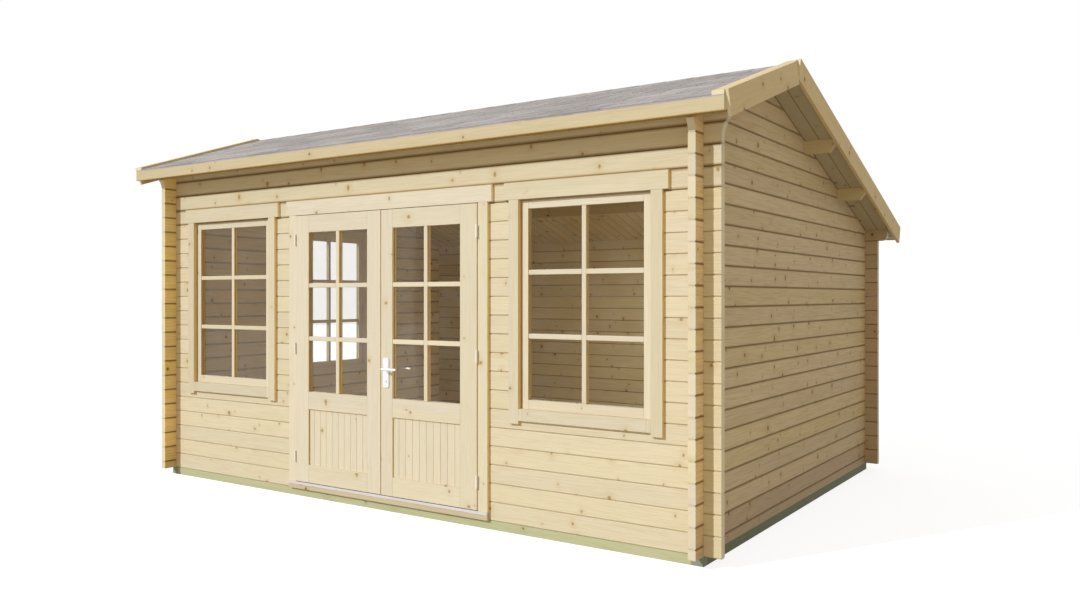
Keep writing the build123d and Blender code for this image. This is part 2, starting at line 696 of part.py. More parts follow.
casing_front = FRONT_Y - CASING_THICKNESS
casing_back = WALL_BACK + CASING_THICKNESS
side_boards = []
for near, far in ((-CASING_HALF, -DOOR_HALF), (DOOR_HALF, CASING_HALF)):
    side_boards.append(upright(near, far, casing_front, FRONT_Y, THRESHOLD_TOP, DOOR_HEAD - JOINT_GAP))
for near, far in ((-CASING_HALF, -STOP_HALF), (STOP_HALF, CASING_HALF)):
    side_boards.append(
        upright(near, far, WALL_BACK, casing_back, 0, DOOR_HEAD - DOOR_STOP - JOINT_GAP)
    )
ear = CASING_HALF + DOOR_CASING_EAR
head_boards = [
    upright(-ear, ear, casing_front, FRONT_Y, DOOR_HEAD, DOOR_HEAD_TOP),
    upright(-CASING_HALF, CASING_HALF, WALL_BACK, casing_back, DOOR_HEAD - DOOR_STOP, DOOR_HEAD_TOP),
]
export(members_of(side_boards + head_boards), "door_casing")

# ------------------------------------------------------------------ door leaves
RIGHT_LEAF_INNER_X = MEETING_OFFSET + MEETING_CLEARANCE / 2
LEFT_LEAF_INNER_X = RIGHT_LEAF_INNER_X - 2 * MEETING_OFFSET  # before the leaf is mirrored
LEAF_OUTER_X = DOOR_HALF - LEAF_CLEARANCE
LEAF_FOOT = THRESHOLD_TOP + LEAF_CLEARANCE
LEAF_TOP = DOOR_HEAD - LEAF_CLEARANCE
LIGHT_INNER = MEETING_CLEARANCE / 2 + INNER_STILE  # between the stiles
LIGHT_OUTER = LEAF_OUTER_X - OUTER_STILE
PANEL_LOW, PANEL_HIGH = LEAF_FOOT + BOTTOM_RAIL, LOCK_RAIL_BOTTOM
LIGHT_LOW, LIGHT_HIGH = LOCK_RAIL_TOP, LEAF_TOP - TOP_RAIL
LEAF_CENTRE_Y = LEAF_FRONT + LEAF_THICKNESS / 2


def infill(thickness, bite, low, high, slack=0):
    """A pane or panel that fills the space between the stiles, held in their grooves."""
    return upright(
        LIGHT_INNER - bite + slack,
        LIGHT_OUTER + bite - slack,
        LEAF_CENTRE_Y - thickness / 2,
        LEAF_CENTRE_Y + thickness / 2,
        low - bite + slack,
        high + bite - slack,
    )


def leaf(inner_x, bored):
    """A leaf's stiles, rails and grooves; the active leaf is bored for the spindle."""
    with BuildPart() as frame:
        add(upright(inner_x, LEAF_OUTER_X, LEAF_FRONT, LEAF_BACK, LEAF_FOOT, LEAF_TOP))
        cuts = [
            upright(LIGHT_INNER, LIGHT_OUTER, -FAR, FAR, PANEL_LOW, PANEL_HIGH),
            upright(LIGHT_INNER, LIGHT_OUTER, -FAR, FAR, LIGHT_LOW, LIGHT_HIGH),
            infill(PANEL_THICKNESS + 2 * JOINT_GAP, PANEL_BITE, PANEL_LOW, PANEL_HIGH),
            infill(GLASS_THICKNESS + 2 * JOINT_GAP, GLASS_BITE, LIGHT_LOW, LIGHT_HIGH),
            upright(LIGHT_INNER, LIGHT_INNER + JOINT_GAP, -FAR, FAR, 0, FAR),
            upright(LIGHT_OUTER - JOINT_GAP, LIGHT_OUTER, -FAR, FAR, 0, FAR),
        ]
        for cut in cuts:
            add(cut, mode=Mode.SUBTRACT)
        if bored:
            with BuildSketch(Plane.XZ.offset(-LEAF_BACK)):
                with Locations((LEVER_X, FOOT + LEVER_HEIGHT)):
                    Circle(LOCK_BORE)
            extrude(amount=LEAF_THICKNESS, mode=Mode.SUBTRACT)
    return frame.part


LEVER_X = RIGHT_LEAF_INNER_X + LEVER_INSET
panel = infill(PANEL_THICKNESS, PANEL_BITE, PANEL_LOW, PANEL_HIGH, JOINT_GAP)
pane = infill(GLASS_THICKNESS, GLASS_BITE, LIGHT_LOW, LIGHT_HIGH, JOINT_GAP)
export(leaf(RIGHT_LEAF_INNER_X, True), "right_door_leaf")
export(panel, "right_door_panel")
export(pane, "right_door_glass")
for piece, name in ((leaf(LEFT_LEAF_INNER_X, False), "leaf"), (panel, "panel"), (pane, "glass")):
    with BuildPart() as mirrored:
        mirror(piece, about=Plane.YZ)
    export(mirrored.part, f"left_door_{name}")

# ------------------------------------------------------------------ hinges
HINGE_X = (LEAF_OUTER_X + DOOR_HALF) / 2
HINGE_Y = LEAF_FRONT - HINGE_KNUCKLE_RADIUS
KNUCKLE = HINGE_HEIGHT / 2
flap_start = HINGE_Y + HINGE_KNUCKLE_RADIUS + FITTING_SLACK


def hinge_half(on_leaf, level):
    """One half of a lift-off hinge in place: the frame has the lower knuckle with the pin."""
    bottom = FOOT + level - HINGE_HEIGHT / 2
    flap_x = LEAF_OUTER_X if on_leaf else DOOR_HALF - HINGE_PLATE
    knuckle_foot = bottom + KNUCKLE + JOINT_GAP if on_leaf else bottom
    with BuildPart() as half:
        with Locations((flap_x, flap_start, bottom)):
            Box(HINGE_PLATE, HINGE_FLAP, HINGE_HEIGHT, align=(Align.MIN, Align.MIN, Align.MIN))
        with Locations((HINGE_X, HINGE_Y, knuckle_foot)):
            Cylinder(
                HINGE_KNUCKLE_RADIUS,
                KNUCKLE - JOINT_GAP,
                align=(Align.CENTER, Align.CENTER, Align.MIN),
            )
        with Locations((flap_x, HINGE_Y, knuckle_foot)):
            Box(
                HINGE_PLATE,
                flap_start - HINGE_Y,
                KNUCKLE - JOINT_GAP,
                align=(Align.MIN, Align.MIN, Align.MIN),
            )
        with Locations((HINGE_X, HINGE_Y, bottom)):
            if on_leaf:
                Cylinder(
                    HINGE_PIN_RADIUS + HINGE_RUNNING_FIT,
                    HINGE_HEIGHT,
                    align=(Align.CENTER, Align.CENTER, Align.MIN),
                    mode=Mode.SUBTRACT,
                )
            else:
                Cylinder(
                    HINGE_PIN_RADIUS,
                    HINGE_HEIGHT,
                    align=(Align.CENTER, Align.CENTER, Align.MIN),
                )
    return half.part


for owner, on_leaf in (("frame", False), ("leaf", True)):
    halves = members_of([hinge_half(on_leaf, level) for level in HINGE_LEVELS])
    with BuildPart() as mirrored:
        mirror(halves, about=Plane.YZ)
    export(halves, f"right_{owner}_hinges")
    export(mirrored.part, f"left_{owner}_hinges")

# ------------------------------------------------------------------ lock and lever
with BuildPart() as lock_plates:
    for face, outward in ((LEAF_FRONT, 1), (LEAF_BACK, -1)):
        plane = Plane.XZ.offset(-face)
        with BuildSketch(plane):
            with Locations((LEVER_X, FOOT + PLATE_CENTRE)):
                RectangleRounded(PLATE_WIDTH, PLATE_HEIGHT, PLATE_RADIUS)
            with Locations((LEVER_X, FOOT + LEVER_HEIGHT)):
                Circle(SPINDLE_RADIUS + SPINDLE_CLEARANCE, mode=Mode.SUBTRACT)
        extrude(amount=outward * PLATE_THICKNESS)
        with BuildSketch(plane):
            with Locations((LEVER_X, FOOT + CYLINDER_HEIGHT)):
                Circle(CYLINDER_RADIUS)
        extrude(amount=outward * (PLATE_THICKNESS + CYLINDER_PROUD))
export(lock_plates.part, "lock_plates")

with BuildPart() as door_lever:
    spindle_reach = LEAF_THICKNESS / 2 + LEVER_STANDOFF
    with BuildSketch(Plane.XZ.offset(-LEAF_CENTRE_Y)):
        with Locations((LEVER_X, FOOT + LEVER_HEIGHT)):
            Circle(SPINDLE_RADIUS)
    extrude(amount=spindle_reach, both=True)
    for outward in (-1, 1):
        neck_y = LEAF_CENTRE_Y + outward * (LEAF_THICKNESS / 2 + PLATE_THICKNESS + LEVER_NECK_CLEARANCE)
        arm_y = LEAF_CENTRE_Y + outward * spindle_reach
        with BuildLine():
            route = Polyline(
                (LEVER_X, neck_y, FOOT + LEVER_HEIGHT),
                (LEVER_X, arm_y - outward * LEVER_BEND, FOOT + LEVER_HEIGHT),
                (LEVER_X + LEVER_BEND, arm_y, FOOT + LEVER_HEIGHT),
                (LEVER_X + LEVER_LENGTH, arm_y, FOOT + LEVER_HEIGHT),
            )
        with BuildSketch(Plane(route @ 0, z_dir=route % 0)):
            Circle(LEVER_RADIUS)
        sweep(path=route, transition=Transition.RIGHT)
export(door_lever.part, "door_lever")
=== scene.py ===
import bpy
from math import cos, pi, radians, tan
from mathutils import Matrix, Vector


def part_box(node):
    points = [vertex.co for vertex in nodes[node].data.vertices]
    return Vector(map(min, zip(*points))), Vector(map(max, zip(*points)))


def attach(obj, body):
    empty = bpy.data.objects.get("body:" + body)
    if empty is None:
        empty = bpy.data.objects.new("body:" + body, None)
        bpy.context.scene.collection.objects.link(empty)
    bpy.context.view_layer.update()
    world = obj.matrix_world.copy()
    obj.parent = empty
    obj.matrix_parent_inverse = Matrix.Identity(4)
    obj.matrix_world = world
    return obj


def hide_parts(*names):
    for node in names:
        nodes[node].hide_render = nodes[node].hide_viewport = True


# Looks of the garden log cabin. Metres; X along the front, Y to the back, Z up.
# Colours are linear red, green and blue, with an alpha of 1.

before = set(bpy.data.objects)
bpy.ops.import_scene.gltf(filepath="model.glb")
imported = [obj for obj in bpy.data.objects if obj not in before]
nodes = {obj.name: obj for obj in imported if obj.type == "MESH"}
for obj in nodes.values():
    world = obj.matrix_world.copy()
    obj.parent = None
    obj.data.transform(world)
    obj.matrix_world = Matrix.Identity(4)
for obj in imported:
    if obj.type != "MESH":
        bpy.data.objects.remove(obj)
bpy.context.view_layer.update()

# ------------------------------------------------------------------ dimensions
LOG_PITCH = 0.114
LOG_SEAM = 0.006  # width of the shadow in the joint of two logs, each side
GABLE_SEAM = 0.013
# wider joint shadow for the logs over the openings: painted shade along the casing tops and at the eave's
# shadow line
UPPER_SHADE_SEAM = 0.019
FOOT = 0.055  # level of the wall's foot
BEAM_JOINT_X = 2.229  # where the side beams meet the front and rear ones
JOIST_PITCH = 0.62
FLOOR_BOARD = 0.110
HEAD_CASING = 0.105
CASING_SHADE_LINE = 0.004  # height of the painted shade line along the top of a casing's front face
SASH_MARGIN = 0.02  # from the edge of the glass to the side of the opening
GLASS_BITE = 0.0076  # of the panes in their grooves
DOOR_JAMB_X = 0.8  # side members of the door's frame and casing lie beyond it
NO_HEAD = 10.0  # height of a head for side members that run to the top
PANE_ROWS = 3
BAR_WIDTH = 0.030
BAR_RELIEF = 0.002  # bars stay this far behind the face of their sash
BAR_BEVEL = 0.003
PANEL_STRIP = 0.057  # width of one strip of a door panel
STRIP_BEVEL = 0.0025

FRONT_PITCH = radians(19)
REAR_PITCH = radians(18)
RIDGE_Y = -0.705
ROOF_BOARD = 0.096
ROOF_BOARD_THICKNESS = 0.020
ROOF_BOARD_BEVEL = 0.0025
FASCIA_SHADE_LINE = 0.005  # height of the painted shade line along the foot of a fascia's front face
VERGE_BATTEN = 0.068  # the covering shows between the battens along the bargeboards
TAB_COUNT = 15  # shingle tabs side by side in a course
TAB_SLOT = 0.007
TAB_EXPOSURE = 0.145
TAB_OVERLAP = 0.030
TAB_THICKNESS = 0.0035
TAB_BEVEL = 0.001
TAB_BACK = 0.004  # shingles end this far above the eave
STARTER_WIDTH = 0.020  # of the strip below the lowest course
STARTER_THICKNESS = 0.85 * TAB_THICKNESS
CAP_LENGTH = 0.240
CAP_WIDTH = 0.125
CAP_INSET = 0.002  # between the ridge caps and the verge battens

CYLINDER_PROUD = 0.005  # of the lock cylinder in front of its plate
KEYHOLE_Z = 0.865
KEYHOLE_HALF_WIDTH = 0.0007
KEYHOLE_BELOW = 0.0045
KEYHOLE_ABOVE = 0.002
SCREW_RADIUS = 0.0038
SCREW_PROUD = 0.0012
SCREW_INSET = 0.013
SCREW_BEVEL = 0.0005
SLOT_ARM = 0.0022  # half length of one arm of the cross slot
SLOT_HALF_WIDTH = 0.0005
SLOT_PROUD = 0.00015  # keeps the dark slots just clear of the metal
SCREW_SUNK = 0.0005  # depth of a small piece in the one that it sits on
SLOT_SUNK = 0.0004
KEYHOLE_SUNK = 0.0006

RIGHT = (1, 0, 0)
FRONT = (0, -1, 0)
BACK = (0, 1, 0)
UP = (0, 0, 1)
DOWN = (0, 0, -1)


# ------------------------------------------------------------------ node helpers
class Graph:
    """A node tree that is written as expressions: arguments are sockets or plain values."""

    def __init__(self, tree):
        self.tree = tree

    def node(self, kind, *values, **settings):
        made = self.tree.nodes.new("ShaderNode" + kind)
        for key, value in settings.items():
            setattr(made, key, value)
        for place, value in enumerate(values):
            self.put(made.inputs[place], value)
        return made

    def put(self, socket, value):
        if value is None:
            return
        if isinstance(value, bpy.types.NodeSocket):
            self.tree.links.new(value, socket)
        elif hasattr(socket, "default_value"):
            if socket.type == "RGBA" and len(value) == 3:
                value = (*value, 1)
            socket.default_value = value

    def set(self, made, **named):
        for name, value in named.items():
            self.put(made.inputs[name.replace("_", " ")], value)
        return made

    def math(self, operation, *values, clamp=False):
        return self.node("Math", *values, operation=operation, use_clamp=clamp).outputs[0]

    def vector(self, operation, *values):
        made = self.node("VectorMath", *values, operation=operation)
        scalar = operation in ("DOT_PRODUCT", "LENGTH", "DISTANCE")
        return made.outputs["Value" if scalar else "Vector"]

    def split(self, vector):
        return self.node("SeparateXYZ", vector).outputs[:3]

    def join(self, x, y, z):
        return self.node("CombineXYZ", x, y, z).outputs[0]

    def blend(self, factor, a, b):
        """Value a where factor is 0 and b where it is 1."""
        made = self.node("Mix", data_type="FLOAT")
        for place, value in zip((0, 2, 3), (factor, a, b)):
            self.put(made.inputs[place], value)
        return made.outputs[0]

    def colour(self, factor, a, b, mode="MIX"):
        """Colour a where factor is 0; where it is 1, b or with "MULTIPLY" both multiplied."""
        made = self.node("Mix", data_type="RGBA", blend_type=mode)
        for place, value in zip((0, 6, 7), (factor, a, b)):
            self.put(made.inputs[place], value)
        return made.outputs[2]

    def smooth(self, value, start, end):
        """0 below start and 1 above end, with an eased way between them."""
        made = self.node("MapRange", interpolation_type="SMOOTHSTEP")
        for place, item in enumerate((value, start, end, 0.0, 1.0)):
            self.put(made.inputs[place], item)
        return made.outputs[0]

    def noise(self, vector, scale, detail=2.0, rough=0.5):
        made = self.node("TexNoise")
        self.set(made, Vector=vector, Scale=scale, Detail=detail, Roughness=rough)
        return made.outputs["Fac"]

    def random(self, value):
        """One random number for each whole value."""
        return self.node("TexWhiteNoise", None, value, noise_dimensions="1D").outputs["Value"]


def shader_group(name, inputs, outputs):
    """A node group with named sockets, and the graph and sockets to fill it with."""
    kinds = {float: "NodeSocketFloat", tuple: "NodeSocketColor", None: "NodeSocketVector"}
    tree = bpy.data.node_groups.new(name, "ShaderNodeTree")
    for label, default in inputs.items():
        kind = kinds[type(default) if default is not None else None]
        made = tree.interface.new_socket(name=label, in_out="INPUT", socket_type=kind)
        if default is not None:
            made.default_value = default
    for label, kind in outputs.items():
        tree.interface.new_socket(name=label, in_out="OUTPUT", socket_type=f"NodeSocket{kind}")
    graph = Graph(tree)
    source = tree.nodes.new("NodeGroupInput")
    sink = tree.nodes.new("NodeGroupOutput")
    return graph, {label: source.outputs[label] for label in inputs}, sink.inputs


def use(graph, tree, **values):
    """Puts a group in a graph and returns its outputs."""
    made = graph.tree.nodes.new("ShaderNodeGroup")
    made.node_tree = tree
    for name, value in values.items():
        graph.put(made.inputs[name.replace("_", " ")], value)
    return made.outputs


# ------------------------------------------------------------------ tones
# each wood has a pale and a dark tone, and its figure runs between them
PALE_PINE = ((0.74, 0.625, 0.43, 1.0), (0.57, 0.41, 0.21, 1.0))
JOINERY_PINE = ((0.75, 0.645, 0.475, 1.0), (0.62, 0.47, 0.27, 1.0))
CASING_PINE = ((0.70, 0.595, 0.42, 1.0), (0.57, 0.43, 0.24, 1.0))
# darker than the joinery: painted shade on the sill under the threshold
SHADED_SILL_PINE = ((0.585, 0.484, 0.314, 1.0), (0.484, 0.352, 0.178, 1.0))
# a little darker tone for the logs over the openings: painted shade from the eave
UPPER_SHADE_PINE = ((0.725, 0.61, 0.415, 1.0), (0.57, 0.41, 0.205, 1.0))
# the left gable's tone is warmer, painted bounce light at its front corner; the right gable's is darker,
# painted shade on a wall out of the sun
LEFT_GABLE_PINE = ((0.755, 0.60, 0.36, 1.0), (0.565, 0.38, 0.16, 1.0))
RIGHT_GABLE_PINE = ((0.71, 0.575, 0.37, 1.0), (0.535, 0.362, 0.165, 1.0))
EDGE_PINE = ((0.65, 0.525, 0.31, 1.0), (0.52, 0.37, 0.165, 1.0))
BARGE_PINE = ((0.735, 0.578, 0.338, 1.0), (0.585, 0.405, 0.18, 1.0))
FRONT_CEILING_PINE = ((0.74, 0.61, 0.41, 1.0), (0.57, 0.41, 0.22, 1.0))
REAR_CEILING_PINE = ((0.66, 0.55, 0.375, 1.0), (0.50, 0.37, 0.20, 1.0))
TREATED_PINE = ((0.545, 0.52, 0.31, 1.0), (0.37, 0.355, 0.175, 1.0))
DARK_KNOT = (0.13, 0.065, 0.026, 1.0)
PALE_KNOT = (0.31, 0.195, 0.065, 1.0)
SEAM_BROWN = (0.25, 0.155, 0.05, 1.0)
BOUNCE_WARMTH = (1.0, 0.96, 0.76, 1.0)
PALE_GRANULES = (0.595, 0.542, 0.522, 1.0)
DARK_GRANULES = (0.33, 0.298, 0.286, 1.0)
PALE_FOAM = (0.78, 0.74, 0.62, 1.0)
DARK_FOAM = (0.70, 0.66, 0.54, 1.0)
DULLED = (0.62, 0.62, 0.62, 1.0)
PANE_TINT = (0.985, 0.985, 0.98, 1.0)
PANE_SHINE = (0.96, 0.91, 0.80, 1.0)
PANE_FILM = (0.8, 0.8, 0.78, 1.0)


# ------------------------------------------------------------------ shared effects
KNOT_CELL_LENGTH = 0.34  # each knot has a cell, long with the grain, to lie in
KNOT_CELL_HEIGHT = 0.078
KNOT_SCATTER = 0.9  # 0 puts the knots in rows, 1 anywhere
KNOT_RADII = (0.0045, 0.017)  # least and greatest
KNOT_RAGGEDNESS = 0.006
SWIRL_REACH = 2.6  # of the grain's swirl, in radii of its knot
SWIRL_DARKNESS = 0.42
WANDER_SCALE = (0.7, 5.0, 5.0)  # scales of patterns are along, through and across the grain
FIGURE_SCALE = (1.1, 30.0, 62.0)
FIBRE_SCALE = (7.0, 300.0, 420.0)
STAIN_SCALE = (1.2, 9.0, 14.0)
GRAIN_WANDER = 0.05
RING_PACE = 1700.0  # radians of annual rings for each metre
PITH_DEPTHS = (0.07, 0.01)  # of the rings' centre below the middle of a board, greatest and least
BOARD_SPREAD = 0.10  # of the boards' own tones
STAIN_SPREAD = 0.06
END_TINT = (1.10, 1.18, 1.32, 1.0)  # cut ends are paler and cooler than the sides
MEMBER_JOINT = (0.0004, 0.0018)  # from the middle of a frame's joint to where it fades out
GRANULES_PER_METRE = 420.0
TAB_SHADES = (0.84, 1.12)  # darkest and lightest shingle tab


def make_grain_space():
    """Turns object coordinates so that X runs along the grain, and finds the cut ends."""
    g, i, out = shader_group(
        "grain_space",
        {"Vector": None, "Normal": None, "Along Y": 0.0, "Upright": 0.0, "Lying": 0.0, "Seed": 0.0},
        {"Vector": "Vector", "End": "Float"},
    )
    turned = []
    for value in (i["Vector"], i["Normal"]):
        x, y, z = g.split(value)
        level = g.blend(i["Along Y"], x, y)
        side = g.blend(i["Along Y"], y, x)
        depth, height = g.blend(i["Lying"], side, z), g.blend(i["Lying"], z, side)
        turned.append((g.blend(i["Upright"], level, height), depth, g.blend(i["Upright"], height, level)))
    place, normal = turned
    shift = g.math("MULTIPLY", i["Seed"], 17.3)
    along = g.math("ADD", place[0], shift)
    g.put(out["Vector"], g.join(along, g.math("ADD", place[1], shift), place[2]))
    g.put(out["End"], g.smooth(g.math("ABSOLUTE", normal[0]), 0.75, 0.9))
    return g.tree


def find_knots(g, vector, share):
    """Knots in the given share of the cells: way from the heart in radii, core, swirl and push."""
    x, y, z = g.split(vector)
    cell = g.node("TexVoronoi", voronoi_dimensions="2D", feature="F1")
    stretched = g.join(g.math("DIVIDE", x, KNOT_CELL_LENGTH), g.math("DIVIDE", z, KNOT_CELL_HEIGHT), 0.0)
    g.set(cell, Vector=stretched, Scale=1.0, Randomness=KNOT_SCATTER)
    pick = g.split(cell.outputs["Color"])
    has_knot = g.math("LESS_THAN", pick[0], share)
    radius = g.blend(g.math("MULTIPLY", pick[1], pick[1]), *KNOT_RADII)
    flattened = g.math("MULTIPLY", g.blend(pick[2], 0.5, 1.0), KNOT_CELL_HEIGHT)
    away = g.vector("SUBTRACT", stretched, cell.outputs["Position"])
    away = g.vector("MULTIPLY", away, g.join(KNOT_CELL_LENGTH * KNOT_SCATTER, flattened, 0.0))
    ragged = g.math("MULTIPLY", g.math("SUBTRACT", g.noise(vector, 80.0), 0.5), KNOT_RAGGEDNESS)
    from_heart = g.math("DIVIDE", g.math("ADD", g.vector("LENGTH", away), ragged), radius)
    core = g.math("SUBTRACT", 1.0, g.smooth(from_heart, 0.65, 1.05))
    ratio = g.math("DIVIDE", from_heart, SWIRL_REACH)
    swirl = g.math("EXPONENT", g.math("MULTIPLY", g.math("MULTIPLY", ratio, ratio), -1.0))
    swirl = g.math("MULTIPLY", swirl, has_knot)
    push = g.math("MULTIPLY", g.math("SIGN", g.split(away)[1]), g.math("MULTIPLY", swirl, radius))
    return from_heart, g.math("MULTIPLY", core, has_knot), swirl, push


def growth_lines(g, vector, push):
    """Fine fibres and broad dark lines, which wander slowly and are pushed aside by the knots."""
    x, y, z = g.split(vector)
    wander = g.math("SUBTRACT", g.noise(g.vector("MULTIPLY", vector, WANDER_SCALE), 1.0, 1.0), 0.5)
    across = g.math("ADD", z, g.math("MULTIPLY", wander, GRAIN_WANDER))
    across = g.math("SUBTRACT", across, g.math("MULTIPLY", push, 1.4))
    bent = g.join(x, y, across)
    broad = g.noise(g.vector("MULTIPLY", bent, FIGURE_SCALE), 1.0, 2.0, 0.55)
    fine = g.noise(g.vector("MULTIPLY", bent, FIBRE_SCALE), 1.0, 2.0, 0.6)
    return fine, g.smooth(g.math("SINE", g.math("MULTIPLY", broad, 42.0)), -0.2, 1.0)


def end_rings(g, vector, seed):
    """Annual rings on a cut end, round a pith below the board."""
    x, y, z = g.split(vector)
    deepest, highest = PITH_DEPTHS
    pith = g.math("MULTIPLY_ADD", g.random(g.math("ADD", seed, 4.0)), deepest - highest, -deepest)
    above = g.math("SUBTRACT", g.math("WRAP", z, LOG_PITCH / 2, -LOG_PITCH / 2), pith)
    turn = g.join(g.math("WRAP", y, 0.05, -0.05), above, 0.0)
    rings = g.math("MULTIPLY", g.vector("LENGTH", turn), RING_PACE)
    rings = g.math("ADD", rings, g.math("MULTIPLY", g.noise(turn, 40.0), 9.0))
    return g.smooth(g.math("SINE", rings), -0.3, 1.0)


def board_shade(g, vector, seed, variety):
    """A shade of its own for each board, lighter or warmer, with slow stains along it."""
    own = g.random(g.math("ADD", seed, 1.7))
    stain = g.noise(g.vector("MULTIPLY", vector, STAIN_SCALE), 1.0, 2.0)
    stain = g.blend(stain, -STAIN_SPREAD, STAIN_SPREAD)
    spread = g.math("MULTIPLY_ADD", g.math("SUBTRACT", own, 0.5), BOARD_SPREAD, stain)
    value = g.math("MULTIPLY_ADD", spread, variety, 0.99)
    warm = g.math("SUBTRACT", g.random(g.math("ADD", seed, 9.1)), 0.5)
    warm = g.math("MULTIPLY_ADD", g.math("MULTIPLY", warm, BOARD_SPREAD), variety, 0.99)
    return g.node("CombineColor", value, value, g.math("MULTIPLY", value, warm)).outputs[0]


def make_softwood():
    """Planed pine or spruce: growth lines, cathedral figure, knots with their swirls, end rings.

    Vector is in metres with X along the grain."""
    g, i, out = shader_group(
        "softwood",
        {
            "Vector": None,
            "End": 0.0,
            "Seed": 0.0,
            "Pale": PALE_PINE[0],
            "Dark": PALE_PINE[1],
            "Knot": DARK_KNOT,
            "Figure": 0.5,
            "Knots": 0.4,
            "Variety": 1.0,
        },
        {"Color": "Color", "Height": "Float", "Roughness": "Float"},
    )
    from_heart, core, swirl, push = find_knots(g, i["Vector"], i["Knots"])
    fine, ring = growth_lines(g, i["Vector"], push)
    rings = end_rings(g, i["Vector"], i["Seed"])

    figure = g.math("MULTIPLY", ring, g.blend(fine, 0.55, 1.0))
    figure = g.math("MULTIPLY_ADD", fine, 0.25, g.math("MULTIPLY", figure, 0.6))
    figure = g.blend(i["End"], figure, g.math("MULTIPLY_ADD", rings, 0.40, 0.12))
    figure = g.math("MULTIPLY", figure, i["Figure"], clamp=True)
    tone = g.colour(figure, i["Pale"], i["Dark"])
    tone = g.colour(1.0, tone, board_shade(g, i["Vector"], i["Seed"], i["Variety"]), "MULTIPLY")
    tone = g.colour(g.math("MULTIPLY", swirl, SWIRL_DARKNESS), tone, i["Dark"])
    tone = g.colour(i["End"], tone, END_TINT, "MULTIPLY")
    side_core = g.math("MULTIPLY", core, g.math("SUBTRACT", 1.0, i["End"]))
    core_tone = g.colour(g.smooth(from_heart, 0.2, 1.0), i["Knot"], i["Dark"])
    g.put(out["Color"], g.colour(g.math("MULTIPLY", side_core, 0.85), tone, core_tone))
    height = g.math("MULTIPLY_ADD", fine, 0.6, g.math("MULTIPLY", ring, 0.4))
    g.put(out["Height"], g.math("SUBTRACT", height, g.math("MULTIPLY", side_core, 0.8)))
    g.put(out["Roughness"], g.math("MULTIPLY_ADD", figure, -0.08, 0.62))
    return g.tree


def make_cells():
    """Numbers the boards that repeat along one coordinate, and marks the joints between them."""
    g, i, out = shader_group(
        "board_cells",
        {"Coordinate": 0.0, "Start": 0.0, "Pitch": 0.1, "Joint": 0.002, "Seed": 0.0},
        {"Seed": "Float", "Joint": "Float"},
    )
    place = g.math("DIVIDE", g.math("SUBTRACT", i["Coordinate"], i["Start"]), i["Pitch"])
    number = g.math("FLOOR", place)
    g.put(out["Seed"], g.random(g.math("ADD", g.math("MULTIPLY", i["Seed"], 61.7), number)))
    edge = g.math("ABSOLUTE", g.math("SUBTRACT", g.math("FRACT", place), 0.5))
    edge = g.math("MULTIPLY", g.math("SUBTRACT", 0.5, edge), i["Pitch"])
    g.put(out["Joint"], g.math("SUBTRACT", 1.0, g.smooth(edge, 0.0, i["Joint"])))
    return g.tree


def make_upright_zone():
    """1 where a frame's member stands upright: beyond its opening's sides and below its head."""
    g, i, out = shader_group(
        "upright_zone",
        {"Across": 0.0, "Height": 0.0, "Centre": 0.0, "Half Width": 0.5, "Head": 10.0},
        {"Upright": "Float", "Seed": "Float", "Joint": "Float"},
    )
    from_centre = g.math("SUBTRACT", i["Across"], i["Centre"])
    beyond = g.math("SUBTRACT", g.math("ABSOLUTE", from_centre), i["Half Width"])
    inside = g.math("MINIMUM", beyond, g.math("SUBTRACT", i["Head"], i["Height"]))
    upright = g.math("GREATER_THAN", inside, 0.0)
    g.put(out["Joint"], g.math("SUBTRACT", 1.0, g.smooth(g.math("ABSOLUTE", inside), *MEMBER_JOINT)))
    side = g.math("MULTIPLY_ADD", g.math("SIGN", from_centre), 0.31, 0.5)
    level = g.math("MULTIPLY", g.math("ROUND", g.math("MULTIPLY", i["Height"], 2.2)), 0.137)
    g.put(out["Upright"], upright)
    g.put(out["Seed"], g.blend(upright, level, side))
    return g.tree


def make_granules():
    """Mineral granules on bitumen: a speckle of greys with a fine relief."""
    g, i, out = shader_group(
        "granules",
        {"Vector": None, "Light": (0.5, 0.5, 0.5, 1.0), "Dark": (0.2, 0.2, 0.2, 1.0), "Seed": 0.0},
        {"Color": "Color", "Height": "Float"},
    )
    grains = g.node("TexVoronoi", feature="F1")
    g.set(grains, Vector=i["Vector"], Scale=GRANULES_PER_METRE)
    speck = g.split(grains.outputs["Color"])[0]
    cloud = g.noise(i["Vector"], 9.0, 3.0, 0.6)
    mixed = g.math("MULTIPLY_ADD", speck, 0.55, g.math("MULTIPLY", cloud, 0.45), clamp=True)
    tone = g.colour(mixed, i["Dark"], i["Light"])
    shade = g.blend(g.random(i["Seed"]), *TAB_SHADES)
    graded = g.node("CombineColor", shade, shade, g.math("MULTIPLY", shade, 1.01))
    g.put(out["Color"], g.colour(1.0, tone, graded.outputs[0], "MULTIPLY"))
    g.put(out["Height"], grains.outputs["Distance"])
    return g.tree


def make_dust():
    """Soft uneven dulling for metal and glass."""
    g, i, out = shader_group("dust", {"Vector": None, "Amount": 0.1}, {"Mask": "Float"})
    cloud = g.noise(i["Vector"], 6.0, 4.0, 0.6)
    fine = g.noise(i["Vector"], 140.0, 2.0, 0.6)
    cover = g.smooth(g.math("MULTIPLY_ADD", fine, 0.3, cloud), 0.45, 0.95)
    g.put(out["Mask"], g.math("MULTIPLY", cover, i["Amount"]))
    return g.tree


GRAIN_SPACE = make_grain_space()
SOFTWOOD = make_softwood()
CELLS = make_cells()
UPRIGHT = make_upright_zone()
GRANULES = make_granules()
DUST = make_dust()


